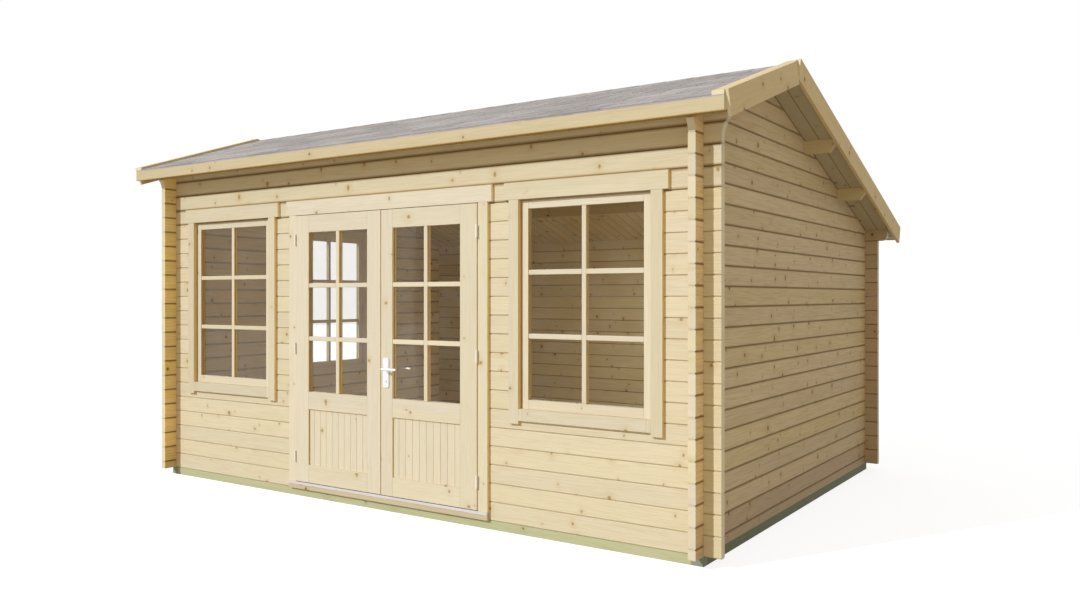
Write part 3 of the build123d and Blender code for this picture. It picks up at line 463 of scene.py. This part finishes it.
# ------------------------------------------------------------------ materials
SEED_STEP = 0.173
SEAM_FADE = -0.75  # joints show less on the cut ends
MEMBER_SHADE = 0.45  # strength of the lines where a frame's members meet
WOOD_RELIEF = 0.0005
WOOD_SHEEN = 0.2
FELT_RELIEF = 0.0012
BRUSHED_UPRIGHT = (400.0, 12.0, 400.0)  # brush marks are long where the scale is small
BRUSHED_ALONG = (12.0, 400.0, 400.0)
BRUSH_RELIEF = 0.00006
METAL_SOFTENING = 0.0008
METAL_DUST = 0.35
PANE_DUST = 0.02
PANE_REFLECTION = 0.085  # share that shows of what the pane mirrors


def new_material(name):
    material = bpy.data.materials.new(name)
    material.use_nodes = True
    material.node_tree.nodes.clear()
    return material, Graph(material.node_tree)


def finish_surface(g, color, roughness, height=None, relief=0.0, soften=0.0, **more):
    """Principled surface with its relief and slightly rounded edges."""
    surface = g.node("BsdfPrincipled")
    g.set(surface, Base_Color=color, Roughness=roughness, **more)
    rounded = None
    if soften:
        bevel = g.node("Bevel", samples=4)
        g.set(bevel, Radius=soften)
        rounded = bevel.outputs[0]
    if height is not None:
        bump = g.node("Bump")
        g.set(bump, Strength=1.0, Distance=relief, Height=height)
        g.put(bump.inputs["Normal"], rounded)
        rounded = bump.outputs[0]
    g.put(surface.inputs["Normal"], rounded)
    g.put(g.node("OutputMaterial").inputs["Surface"], surface.outputs[0])


def wood(name, seed, along_y=False, pitch=None, zone=None, slope=0.0, tones=PALE_PINE, joint=0.0,
         shade=0.8, figure=0.55, knots=0.6, knot=DARK_KNOT, variety=1.0, soften=0.0015, upright=0.0,
         lying=0.0, patches=(), upright_shade=None):
    """Softwood laid on a node: the grain's way, and a seed of its own for each board.

    pitch is (coordinate, start, width) of boards that repeat; zone is (centre, half width, head,
    mirrored) of a frame whose side members stand upright; lying is 1 for boards that lie flat;
    patches, made by patch(), are tints of painted light and shade."""
    material, g = new_material(name)
    where = g.node("TexCoord")
    place, normal = where.outputs["Object"], where.outputs["Normal"]
    if slope:
        turn = g.node("VectorRotate", rotation_type="X_AXIS")
        g.set(turn, Vector=place, Angle=slope)
        place = turn.outputs[0]
    x, y, z = g.split(place)
    board, seam = seed * SEED_STEP, 0.0
    if pitch:
        coordinate, start, width = pitch
        cells = use(g, CELLS, Coordinate={"X": x, "Y": y, "Z": z}[coordinate], Start=start, Pitch=width,
                    Joint=joint or 0.001, Seed=seed)
        board, seam = cells["Seed"], cells["Joint"]
    if zone:
        centre, half, head, mirrored = zone
        level = y if along_y else x
        level = g.math("ABSOLUTE", level) if mirrored else level
        members = use(g, UPRIGHT, Across=level, Height=z, Centre=centre, Half_Width=half, Head=head)
        upright = members["Upright"]
        board = g.math("ADD", members["Seed"], seed * SEED_STEP)
        seam = members["Joint"]
    space = use(g, GRAIN_SPACE, Vector=place, Normal=normal, Along_Y=float(along_y), Upright=upright,
                Lying=lying, Seed=board)
    look = use(g, SOFTWOOD, Vector=space["Vector"], End=space["End"], Seed=board, Pale=tones[0],
               Dark=tones[1], Knot=knot, Figure=figure, Knots=knots, Variety=variety)
    color, height = look["Color"], look["Height"]
    if joint or zone:
        depth = g.math("MULTIPLY_ADD", space["End"], SEAM_FADE, 1.0)
        depth = g.math("MULTIPLY", depth, shade if joint else MEMBER_SHADE)
        color = g.colour(g.math("MULTIPLY", seam, depth), color, SEAM_BROWN)
    # a darker tint for the upright members: painted shade
    if upright_shade:
        color = g.colour(upright, color, upright_shade, "MULTIPLY")
    for facing, tint, way, limit in patches:
        faces = g.smooth(g.vector("DOT_PRODUCT", normal, facing), 0.5, 0.8)
        beyond = g.math("GREATER_THAN", g.vector("DOT_PRODUCT", place, way), limit)
        color = g.colour(g.math("MULTIPLY", faces, beyond), color, tint, "MULTIPLY")
    # light that a board throws on its neighbours is warmer than the board looks
    bounced = g.node("LightPath").outputs["Is Diffuse Ray"]
    color = g.colour(bounced, color, BOUNCE_WARMTH, "MULTIPLY")
    finish_surface(g, color, look["Roughness"], height, WOOD_RELIEF, soften, Specular_IOR_Level=WOOD_SHEEN)
    return material


def patch(facing, tint, way=UP, limit=-1.0):
    """A tint of painted light or shade for the faces that look one way, and lie beyond the limit along
    another way.

    Without a way and a limit, it covers all the faces that look that way."""
    return facing, tint, way, limit


def shade_line_on_top(node):
    """Painted shade: a darker line along the top of a node's front face, where it meets the logs above."""
    return patch(FRONT, (0.70, 0.55, 0.30, 1.0), UP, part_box(node)[1].z - CASING_SHADE_LINE)


def felt(name, node, pitch_angle):
    """Shingle surface: every tab has its own shade. Courses are counted from the eave."""
    material, g = new_material(name)
    place = g.node("TexCoord").outputs["Object"]
    x, y, z = g.split(place)
    low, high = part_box(node)
    from_ridge = g.math("ABSOLUTE", g.math("SUBTRACT", y, RIDGE_Y))
    from_eave = g.math("DIVIDE", g.math("SUBTRACT", high.y - low.y, from_ridge), cos(pitch_angle))
    course = g.math("FLOOR", g.math("DIVIDE", from_eave, TAB_EXPOSURE))
    stagger = g.math("MULTIPLY", g.math("WRAP", course, 2.0, 0.0), 0.5)
    start, span = low.x + VERGE_BATTEN, high.x - low.x - 2 * VERGE_BATTEN
    along = g.math("DIVIDE", g.math("SUBTRACT", x, start), span / TAB_COUNT)
    tab = g.math("FLOOR", g.math("ADD", along, stagger))
    seed = g.math("ADD", g.math("MULTIPLY", course, 7.13), tab)
    look = use(g, GRANULES, Vector=place, Light=PALE_GRANULES, Dark=DARK_GRANULES, Seed=seed)
    finish_surface(g, look["Color"], 0.92, look["Height"], FELT_RELIEF, Specular_IOR_Level=0.0)
    return material


def metal(name, tint, roughness, brushed=BRUSHED_UPRIGHT, metallic=1.0):
    """Brushed metal with a little dust."""
    material, g = new_material(name)
    place = g.node("TexCoord").outputs["Object"]
    streak = g.noise(g.vector("MULTIPLY", place, brushed), 1.0, 2.0)
    dull = use(g, DUST, Vector=place, Amount=METAL_DUST)["Mask"]
    color = g.colour(dull, tint, DULLED, "MULTIPLY")
    rough = g.math("ADD", g.math("MULTIPLY_ADD", streak, 0.16, roughness), g.math("MULTIPLY", dull, 0.3))
    finish_surface(g, color, rough, streak, BRUSH_RELIEF, METAL_SOFTENING, Metallic=metallic)
    return material


def pane(name):
    """Clear pane: mirror-like at a shallow angle, and it lets the sun in."""
    material, g = new_material(name)
    place = g.node("TexCoord").outputs["Object"]
    dull = use(g, DUST, Vector=place, Amount=PANE_DUST)["Mask"]
    ripple = g.node("Bump")
    g.set(ripple, Strength=0.12, Distance=0.002, Height=g.noise(place, 1.3, 1.0))
    fresnel = g.node("Fresnel")
    g.set(fresnel, IOR=1.5, Normal=ripple.outputs[0])
    clear = g.node("BsdfTransparent")
    g.set(clear, Color=PANE_TINT)
    shine = g.node("BsdfGlossy")
    g.set(shine, Color=PANE_SHINE, Roughness=0.015, Normal=ripple.outputs[0])
    film = g.node("BsdfDiffuse")
    g.set(film, Color=PANE_FILM)
    seen = g.node("LightPath").outputs["Is Camera Ray"]
    both = g.node("MixShader", g.math("MULTIPLY", fresnel.outputs[0], g.blend(seen, 0.0, PANE_REFLECTION)))
    g.put(both.inputs[1], clear.outputs[0])
    g.put(both.inputs[2], shine.outputs[0])
    dusty = g.node("MixShader", g.math("MULTIPLY", dull, seen))
    g.put(dusty.inputs[1], both.outputs[0])
    g.put(dusty.inputs[2], film.outputs[0])
    g.put(g.node("OutputMaterial").inputs["Surface"], dusty.outputs[0])
    return material


def foam(name):
    """Insulation board between the roof boards and the covering."""
    material, g = new_material(name)
    place = g.node("TexCoord").outputs["Object"]
    cells = g.node("TexVoronoi", feature="F1")
    g.set(cells, Vector=place, Scale=260.0)
    color = g.colour(g.split(cells.outputs["Color"])[0], PALE_FOAM, DARK_FOAM)
    finish_surface(g, color, 0.9, cells.outputs["Distance"], 0.0008)
    return material


# ------------------------------------------------------------------ finishes of the CAD nodes
def dress(material, *names):
    """Gives CAD nodes a material."""
    for name in names:
        mesh = nodes[name].data
        mesh.materials.clear()
        mesh.materials.append(material)


front_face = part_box("front_wall_left")[0].y
side_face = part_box("right_gable_wall")[1].x
front_courses = ("Z", FOOT, LOG_PITCH)
gable_courses = ("Z", FOOT - LOG_PITCH / 2, LOG_PITCH)
painted_bounce_side = patch(RIGHT, (1.30, 1.14, 0.80, 1.0))  # painted bounce light: edges that look along the front, to the right, are lighter and warmer

# walls; log ends past the side walls and the corners have tints of their own, painted bounce light and
# painted shade
# past the right gable, the front wall's log ends get a warmer tone, painted bounce light, and the rear
# wall's a darker one, painted shade
dress(wood("front_logs", 3, pitch=front_courses, joint=LOG_SEAM, shade=0.35, knots=0.55, knot=PALE_KNOT,
           variety=0.6, patches=[patch(FRONT, (0.98, 0.955, 0.87, 1.0), RIGHT, side_face)]),
      "front_wall_left", "front_wall_right")
# painted shade: wider, darker joints along the casing tops and a darker tone under the eave
dress(wood("upper_front_logs", 5, pitch=front_courses, joint=UPPER_SHADE_SEAM, shade=0.95,
           tones=UPPER_SHADE_PINE, knots=0.5, knot=PALE_KNOT, variety=0.7), "front_wall_over_door")
dress(wood("rear_logs", 11, pitch=front_courses, joint=LOG_SEAM, shade=0.85,
           patches=[patch(FRONT, (0.75, 0.67, 0.65, 1.0), RIGHT, side_face)]), "rear_wall")
# the corner tint is painted bounce light on the right-facing sides of the gables' log ends in front of the
# front wall
for seed, side, tones, variety, corner_bounce_tint in (
    (23, "left", LEFT_GABLE_PINE, 0.9, (1.26, 1.22, 0.90, 1.0)),
    (24, "right", RIGHT_GABLE_PINE, 1.5, (1.30, 1.25, 1.15, 1.0)),
):
    ground_shade = [
        patch(RIGHT, (0.84, 0.81, 0.83, 1.0), DOWN, -FOOT - 1.5 * LOG_PITCH),
        patch(RIGHT, (0.91, 0.91, 0.91, 1.0), DOWN, -FOOT - 0.5 * LOG_PITCH),
    ]
    dress(wood(f"{side}_gable_logs", seed, along_y=True, pitch=gable_courses, joint=GABLE_SEAM,
               shade=0.85, tones=tones, figure=1.0, knots=0.65, variety=variety,
               patches=[patch(RIGHT, corner_bounce_tint, FRONT, -front_face), *ground_shade]),
          f"{side}_gable_wall")

# timbers under the floor, and the floor
# painted shade: the side beams are darker, the right one darker still
dress(wood("beam_wood", 37, zone=(0.0, BEAM_JOINT_X, 1.0, False), tones=TREATED_PINE, knots=0.3,
           upright_shade=(0.52, 0.58, 0.66, 1.0),
           patches=[patch(RIGHT, (0.53, 0.56, 0.43, 1.0), BACK, front_face + 0.05)]), "foundation_beams")
dress(wood("joist_wood", 41, along_y=True, pitch=("X", JOIST_PITCH / 2, JOIST_PITCH), tones=TREATED_PINE),
      "floor_joists")
dress(wood("floor_wood", 43, pitch=("Y", 0.0, FLOOR_BOARD), joint=0.0016, lying=1.0), "floor_boards")

# roof
# painted shade: the purlin faces that look right are darker
dress(wood("purlin_wood", 31, tones=EDGE_PINE, patches=[patch(RIGHT, (0.84, 0.76, 0.64, 1.0))]), "purlins")
felts = {}
for seed, side, pitch, slope in (
    (0, "front", FRONT_PITCH, -FRONT_PITCH),
    (1, "rear", REAR_PITCH, REAR_PITCH),
):
    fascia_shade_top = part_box(f"{side}_fascia")[0].z + FASCIA_SHADE_LINE
    # painted shade on the fascia: a darker line along the foot of its front face, and a darker underside
    dress(wood(f"{side}_fascia_wood", 47 + seed, tones=EDGE_PINE,
               patches=[patch(FRONT, (0.84, 0.70, 0.44, 1.0), DOWN, -fascia_shade_top),
                        patch(DOWN, (0.80, 0.64, 0.38, 1.0))]),
          f"{side}_fascia")
    dress(wood(f"{side}_barge_wood", 53 + seed, along_y=True, slope=slope, tones=BARGE_PINE),
          f"{side}_bargeboards")
    felts[side] = felt(f"{side}_felt", f"{side}_roof_covering", pitch)
    dress(felts[side], f"{side}_roof_covering")
    dress(foam(f"{side}_foam"), f"{side}_roof_insulation")

# windows
window_low, window_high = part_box("right_window_glass")
glass_half = (window_high.x - window_low.x) / 2
window_x = (window_high.x + window_low.x) / 2
opening_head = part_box("right_window_frame")[1].z - HEAD_CASING
for seed, (where, centre) in enumerate((("left", -window_x), ("right", window_x), ("gable", 0.0))):
    along_y = where == "gable"
    opening = (centre, glass_half + SASH_MARGIN, opening_head, False)
    sash = (centre, glass_half - GLASS_BITE, NO_HEAD, False)
    # painted bounce light on the right-facing edges of the front windows
    edges = [] if along_y else [painted_bounce_side]
    # the top of the casing's front face carries a painted shade line
    top = [] if along_y else [shade_line_on_top(f"{where}_window_frame")]
    dress(wood(f"{where}_casing_wood", 61 + seed, along_y, zone=opening, tones=CASING_PINE, knots=0.25,
               knot=PALE_KNOT, variety=0.7, patches=edges + top), f"{where}_window_frame")
    dress(wood(f"{where}_sash_wood", 67 + seed, along_y, zone=sash, tones=JOINERY_PINE, knots=0.2,
               patches=edges), f"{where}_window_sash")
    dress(pane(f"{where}_pane"), f"{where}_window_glass")

# doorway and doors
door_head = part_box("door_casing")[1].z - HEAD_CASING
# painted bounce light on the right-facing edges of the doorway's casing and frame
for seed, node in enumerate(("door_casing", "door_frame")):
    # the top of each front face carries a painted shade line
    dress(wood(f"{node}_wood", 71 + seed, zone=(0.0, DOOR_JAMB_X, door_head, False), tones=JOINERY_PINE,
               knots=0.25, knot=PALE_KNOT, variety=0.7, patches=[painted_bounce_side, shade_line_on_top(node)]), node)
dress(wood("sill_wood", 79, tones=SHADED_SILL_PINE), "door_sill")
dress(metal("threshold_metal", (0.64, 0.565, 0.535, 1.0), 0.38, BRUSHED_ALONG, 0.6), "door_threshold")
door_low, door_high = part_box("right_door_glass")
door_x = (door_low.x + door_high.x) / 2
stiles = (door_x, (door_high.x - door_low.x) / 2 - GLASS_BITE, NO_HEAD, True)
for seed, side in enumerate(("left", "right")):
    # painted bounce light on the right-facing edges of the leaves
    dress(wood(f"{side}_leaf_wood", 83 + seed, zone=stiles, tones=JOINERY_PINE, knots=0.25, knot=PALE_KNOT,
               variety=0.7, patches=[painted_bounce_side]), f"{side}_door_leaf")
    dress(pane(f"{side}_door_pane"), f"{side}_door_glass")
    dress(metal(f"{side}_hinge_metal", (0.84, 0.79, 0.69, 1.0), 0.40, metallic=0.3),
          f"{side}_frame_hinges", f"{side}_leaf_hinges")
dress(metal("plate_metal", (0.80, 0.78, 0.78, 1.0), 0.34, metallic=0.6), "lock_plates")
dress(metal("lever_metal", (0.90, 0.88, 0.88, 1.0), 0.30, metallic=0.45), "door_lever")


# ------------------------------------------------------------------ modelling helpers
def settle(piece):
    """Leaves the object at the origin, unturned, with its place in its mesh."""
    bpy.ops.object.select_all(action="DESELECT")
    piece.select_set(True)
    bpy.context.view_layer.objects.active = piece
    bpy.ops.object.transform_apply(location=True, rotation=True, scale=True)
    return piece


def apply_modifier(piece, kind, **settings):
    modifier = piece.modifiers.new(kind.lower(), kind)
    for key, value in settings.items():
        setattr(modifier, key, value)
    bpy.ops.object.select_all(action="DESELECT")
    piece.select_set(True)
    bpy.context.view_layer.objects.active = piece
    bpy.ops.object.modifier_apply(modifier=modifier.name)


def batten(low, high, bevel=0.0):
    """A bevelled batten between two corners."""
    bpy.ops.object.select_all(action="DESELECT")
    low, high = Vector(low), Vector(high)
    bpy.ops.mesh.primitive_cube_add(size=1, location=(low + high) / 2)
    piece = bpy.context.object
    piece.scale = high - low
    settle(piece)
    if bevel:
        apply_modifier(piece, "BEVEL", width=bevel, segments=2, limit_method="ANGLE")
    return piece


def repeat(piece, count, step):
    """Copies a piece in its own mesh, each copy a step further."""
    if count > 1:
        apply_modifier(piece, "ARRAY", count=count, use_relative_offset=False, use_constant_offset=True,
                       constant_offset_displace=step)
    return piece


def merge(name, parts):
    """One named piece from several."""
    bpy.ops.object.select_all(action="DESELECT")
    for part in parts:
        part.select_set(True)
    bpy.context.view_layer.objects.active = parts[0]
    bpy.ops.object.join()
    piece = bpy.context.object
    piece.name = name
    piece.data.name = name
    return piece


def hang(piece, body, material):
    """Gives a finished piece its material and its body."""
    piece.data.materials.clear()
    piece.data.materials.append(material)
    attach(piece, body)


# ------------------------------------------------------------------ glazing bars
def glazing_bars(where, glass, sash, body, seed, along_y=False):
    """Two columns of panes: bars on both faces of the glass, the crossbars cut at the upright."""
    glass_low, glass_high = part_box(glass)
    sash_low, sash_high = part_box(sash)
    level, depth = (1, 0) if along_y else (0, 1)

    def bar(left, right, face, bottom, top):
        low, high = [0, 0, bottom], [0, 0, top]
        low[level], high[level] = left, right
        low[depth], high[depth] = face
        return batten(low, high, BAR_BEVEL)

    left, right = glass_low[level] + GLASS_BITE, glass_high[level] - GLASS_BITE
    bottom, top = glass_low.z + GLASS_BITE, glass_high.z - GLASS_BITE
    middle, half = (left + right) / 2, BAR_WIDTH / 2
    near = (sash_low[depth] + BAR_RELIEF, glass_low[depth])
    far = (glass_high[depth], sash_high[depth] - BAR_RELIEF)
    uprights, crossbars = [], []
    for face in (near, far):
        uprights.append(bar(middle - half, middle + half, face, bottom, top))
        for row in range(1, PANE_ROWS):
            z = bottom + (top - bottom) * row / PANE_ROWS
            crossbars.append(bar(left, middle - half, face, z - half, z + half))
            crossbars.append(bar(middle + half, right, face, z - half, z + half))
    # upright bars of the front openings get painted bounce light on their right-facing sides
    hang(merge(f"{where}_upright_bars", uprights), body,
         wood(f"{where}_upright_bar_wood", seed, along_y, tones=JOINERY_PINE, upright=1.0, knots=0.1,
              soften=0.0, patches=[] if along_y else [painted_bounce_side]))
    hang(merge(f"{where}_cross_bars", crossbars), body,
         wood(f"{where}_cross_bar_wood", seed + 1, along_y, tones=JOINERY_PINE, knots=0.1, soften=0.0))


for seed, where in ((101, "left"), (103, "right"), (105, "gable")):
    glazing_bars(f"{where}_window", f"{where}_window_glass", f"{where}_window_sash", "cabin", seed,
                 along_y=where == "gable")
for seed, side in ((111, "left"), (113, "right")):
    glazing_bars(f"{side}_door", f"{side}_door_glass", f"{side}_door_leaf", f"{side}_door", seed)


# ------------------------------------------------------------------ screws and keyholes of the lock plates
def screw_head(low_y, high_y, x, z):
    """A round head with its axis along Y."""
    bpy.ops.object.select_all(action="DESELECT")
    bpy.ops.mesh.primitive_cylinder_add(vertices=24, radius=SCREW_RADIUS, depth=high_y - low_y,
                                        location=(x, (low_y + high_y) / 2, z), rotation=(pi / 2, 0, 0))
    piece = settle(bpy.context.object)
    apply_modifier(piece, "BEVEL", width=SCREW_BEVEL, segments=2, limit_method="ANGLE")
    return piece


plate_low, plate_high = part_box("lock_plates")
lock_x = (plate_low.x + plate_high.x) / 2
heads, slots = [], []
for out, cylinder in ((-1, plate_low.y), (1, plate_high.y)):
    face = cylinder - out * CYLINDER_PROUD
    tip = face + out * SCREW_PROUD
    for z in (plate_low.z + SCREW_INSET, plate_high.z - SCREW_INSET):
        near, far = sorted((face - out * SCREW_SUNK, tip))
        heads.append(screw_head(near, far, lock_x, z))
        near, far = sorted((tip - out * SLOT_SUNK, tip + out * SLOT_PROUD))
        for wide, tall in ((SLOT_ARM, SLOT_HALF_WIDTH), (SLOT_HALF_WIDTH, SLOT_ARM)):
            slots.append(batten((lock_x - wide, near, z - tall), (lock_x + wide, far, z + tall)))
    near, far = sorted((cylinder - out * KEYHOLE_SUNK, cylinder + out * SLOT_PROUD))
    slots.append(batten((lock_x - KEYHOLE_HALF_WIDTH, near, KEYHOLE_Z - KEYHOLE_BELOW),
                        (lock_x + KEYHOLE_HALF_WIDTH, far, KEYHOLE_Z + KEYHOLE_ABOVE)))
hang(merge("plate_screws", heads), "right_door",
     metal("screw_metal", (0.72, 0.71, 0.70, 1.0), 0.3))
# the cross slots and the keyholes are near-black pieces just proud of the metal: painted shade of their
# recesses
hang(merge("screw_slots", slots), "right_door",
     metal("painted_slot_shade", (0.05, 0.05, 0.05, 1.0), 0.6))

# ------------------------------------------------------------------ door panels of narrow strips
for seed, side in ((121, "left"), (122, "right")):
    low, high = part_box(f"{side}_door_panel")
    count = round((high.x - low.x) / PANEL_STRIP)
    width = (high.x - low.x) / count
    strip = batten(low, (low.x + width, high.y, high.z), STRIP_BEVEL)
    strips = merge(f"{side}_panel_strips", [repeat(strip, count, (width, 0, 0))])
    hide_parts(f"{side}_door_panel")
    hang(strips, f"{side}_door",
         wood(f"{side}_panel_wood", seed, pitch=("X", low.x, width), tones=JOINERY_PINE, joint=0.003,
              shade=0.3, upright=1.0, knots=0.2, knot=PALE_KNOT, variety=0.4, soften=0.0))

# ------------------------------------------------------------------ roof boards and shingles
slopes = {"front": (-1, FRONT_PITCH), "rear": (1, REAR_PITCH)}
# the rear boards' tone is darker than the front's: painted shade on the soffit past the right gable
for seed, side, tones in ((131, "front", FRONT_CEILING_PINE), (132, "rear", REAR_CEILING_PINE)):
    sign, pitch = slopes[side]
    low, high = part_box(f"{side}_roof_boards")
    count = round((high.x - low.x) / ROOF_BOARD)
    width = (high.x - low.x) / count
    board = batten((low.x, low.y, -ROOF_BOARD_THICKNESS / cos(pitch)), (low.x + width, high.y, 0),
                   ROOF_BOARD_BEVEL)
    ridge = high.y if sign < 0 else low.y
    for vertex in board.data.vertices:
        vertex.co.z += high.z - abs(vertex.co.y - ridge) * tan(pitch)
    boards = merge(f"{side}_ceiling_boards", [repeat(board, count, (width, 0, 0))])
    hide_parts(f"{side}_roof_boards")
    # painted shade: darker board ends at the eave and, on the rear, darker undersides past the right gable
    patches = [patch(FRONT if sign < 0 else BACK, (0.58, 0.45, 0.26, 1.0))]
    if side == "rear":
        patches.append(patch(DOWN, (0.78, 0.79, 0.80, 1.0), RIGHT, side_face))
    hang(boards, "cabin",
         wood(f"{side}_ceiling_wood", seed, along_y=True, pitch=("X", low.x, width), tones=tones,
              joint=0.006, shade=0.9, soften=0.0, lying=1.0, patches=patches))


def on_slope(piece, side):
    """Moves a piece drawn on a level roof, with Y = 0 at the ridge, to its slope."""
    sign, pitch = slopes[side]
    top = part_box(f"{side}_roof_covering")[1].z
    piece.matrix_world = Matrix.Translation((0, RIDGE_Y, top)) @ Matrix.Rotation(-sign * pitch, 4, "X")
    return settle(piece)


def tab_rows(side, start, width, count, step, first_course, courses):
    """Every second course of tabs, from the given one upwards."""
    sign, pitch = slopes[side]
    low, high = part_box(f"{side}_roof_covering")
    eave = (high.y - low.y) / cos(pitch) - TAB_BACK
    bottom = eave - first_course * TAB_EXPOSURE
    top = bottom - TAB_EXPOSURE - TAB_OVERLAP
    ends = sorted((sign * top, sign * bottom))
    tab = batten((start + TAB_SLOT / 2, ends[0], 0),
                 (start + width - TAB_SLOT / 2, ends[1], TAB_THICKNESS), TAB_BEVEL)
    for vertex in tab.data.vertices:
        vertex.co.z += TAB_THICKNESS * (sign * vertex.co.y - top) / (bottom - top)
    repeat(tab, count, (step, 0, 0))
    repeat(tab, courses, (0, -sign * 2 * TAB_EXPOSURE, 0))
    return tab


for side, (sign, pitch) in slopes.items():
    low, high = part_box(f"{side}_roof_covering")
    courses = int((high.y - low.y) / cos(pitch) / TAB_EXPOSURE)
    start, span = low.x + VERGE_BATTEN, high.x - low.x - 2 * VERGE_BATTEN
    width = span / TAB_COUNT
    eave = (high.y - low.y) / cos(pitch) - TAB_BACK
    ends = sorted((sign * eave, sign * (eave - STARTER_WIDTH)))
    tabs = [
        batten((start, ends[0], 0), (start + span, ends[1], STARTER_THICKNESS)),
        tab_rows(side, start, width, TAB_COUNT, width, 0, (courses + 1) // 2),
        tab_rows(side, start + width / 2, width, TAB_COUNT - 1, width, 1, courses // 2),
        tab_rows(side, start, width / 2, 2, span - width / 2, 1, courses // 2),
    ]
    hang(on_slope(merge(f"{side}_shingles", tabs), side), "cabin", felts[side])

caps = []
for side, (sign, pitch) in slopes.items():
    low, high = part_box(f"{side}_roof_covering")
    start = low.x + VERGE_BATTEN + CAP_INSET
    span = high.x - low.x - 2 * VERGE_BATTEN - 2 * CAP_INSET
    count = int(span / (CAP_LENGTH - TAB_OVERLAP)) + 1
    step = (span - CAP_LENGTH) / (count - 1)
    ends = sorted((0, sign * CAP_WIDTH))
    cap = batten((start, ends[0], 0), (start + CAP_LENGTH, ends[1], TAB_THICKNESS), TAB_BEVEL)
    for vertex in cap.data.vertices:
        vertex.co.z += 0.5 * TAB_THICKNESS * (1.0 + (vertex.co.x - start) / CAP_LENGTH)
    caps.append(on_slope(repeat(cap, count, (step, 0, 0)), side))
hang(merge("ridge_caps", caps), "cabin", felts["rear"])

# ------------------------------------------------------------------ stage
FLOOR_SIZE = 60
FLOOR_LIFT = 0.79  # keeps the floor as pale as the backdrop, with a faint shadow
FLOOR_TINT = (0.42, 0.455, 0.575, 1.0)
FLOOR_BOUNCE = (0.50, 0.46, 0.40, 1.0)
SKY_STRENGTH = 0.53
SKY_TINT = (1.0, 0.925, 0.73, 1.0)
WHITE = (1.0, 1.0, 1.0, 1.0)
SUN_PLACE = (-4, -8, 8)
SUN_WAY = (0.57, 1.0, -0.69)
SUN_STRENGTH = 3.02
SUN_TINT = (0.788, 0.88, 1.0)
EYE = (4.2516, -6.104, 1.423)
EYE_WAY = (-0.55685, 0.83058, 0)
LENS = 30.36
SENSOR_WIDTH = 36
LENS_SHIFT = -0.0069


def seen_directly(g):
    """1 for what the eye meets, also in metal and glass; 0 for light on its way to a surface."""
    way = g.node("LightPath").outputs
    mirrored = g.math("MAXIMUM", way["Is Glossy Ray"], way["Is Transmission Ray"])
    return g.math("MAXIMUM", way["Is Camera Ray"], mirrored)


def point(thing, way):
    """Turns a lamp or a camera to look along a way."""
    thing.rotation_mode = "QUATERNION"
    thing.rotation_quaternion = Vector(way).to_track_quat("-Z", "Y")


bpy.ops.mesh.primitive_plane_add(size=FLOOR_SIZE, location=(0, 0, 0))
floor = bpy.context.object
floor.name = "floor"
material, g = new_material("studio_floor")
seen = seen_directly(g)
matt = g.node("BsdfDiffuse", g.colour(seen, FLOOR_BOUNCE, FLOOR_TINT))
lift = g.node("Emission", WHITE, g.math("MULTIPLY", seen, FLOOR_LIFT))
both = g.node("AddShader", matt.outputs[0], lift.outputs[0])
g.put(g.node("OutputMaterial").inputs["Surface"], both.outputs[0])
floor.data.materials.append(material)

world = bpy.data.worlds.new("studio")
bpy.context.scene.world = world
world.use_nodes = True
world.node_tree.nodes.clear()
g = Graph(world.node_tree)
seen = seen_directly(g)
light = g.node("Background", g.colour(seen, SKY_TINT, WHITE), g.blend(seen, SKY_STRENGTH, 1.0))
g.put(g.node("OutputWorld").inputs["Surface"], light.outputs[0])

bpy.ops.object.light_add(type="SUN", location=SUN_PLACE)
sun = bpy.context.object
sun.name = "sun"
point(sun, SUN_WAY)
sun.data.energy = SUN_STRENGTH
sun.data.angle = radians(0.8)
sun.data.color = SUN_TINT

# a broad lamp beside the camera and a soft fill in the room
for name, place, aim, size, energy, tint in (
    ("front_lamp", (4.0, -6.5, 1.2), (1.4, -1.6, 0.9), 2.0, 18.0, (1.0, 0.97, 0.90)),
    ("room_fill", (1.5, 0.1, 1.75), (1.5, 0.6, 0.2), 1.2, 19.0, (0.93, 0.98, 0.90)),
):
    bpy.ops.object.light_add(type="AREA", location=place)
    lamp = bpy.context.object
    lamp.name = name
    point(lamp, Vector(aim) - Vector(place))
    lamp.data.size = size
    lamp.data.energy = energy
    lamp.data.color = tint
    lamp.visible_camera = False
    lamp.visible_glossy = False

bpy.ops.object.camera_add(location=EYE)
camera = bpy.context.object
camera.name = "camera"
point(camera, EYE_WAY)
camera.data.sensor_width = SENSOR_WIDTH
camera.data.lens = LENS
camera.data.shift_y = LENS_SHIFT
camera.data.dof.use_dof = False
bpy.context.scene.camera = camera
bpy.context.scene.view_settings.view_transform = "Standard"
bpy.context.scene.view_settings.look = "None"
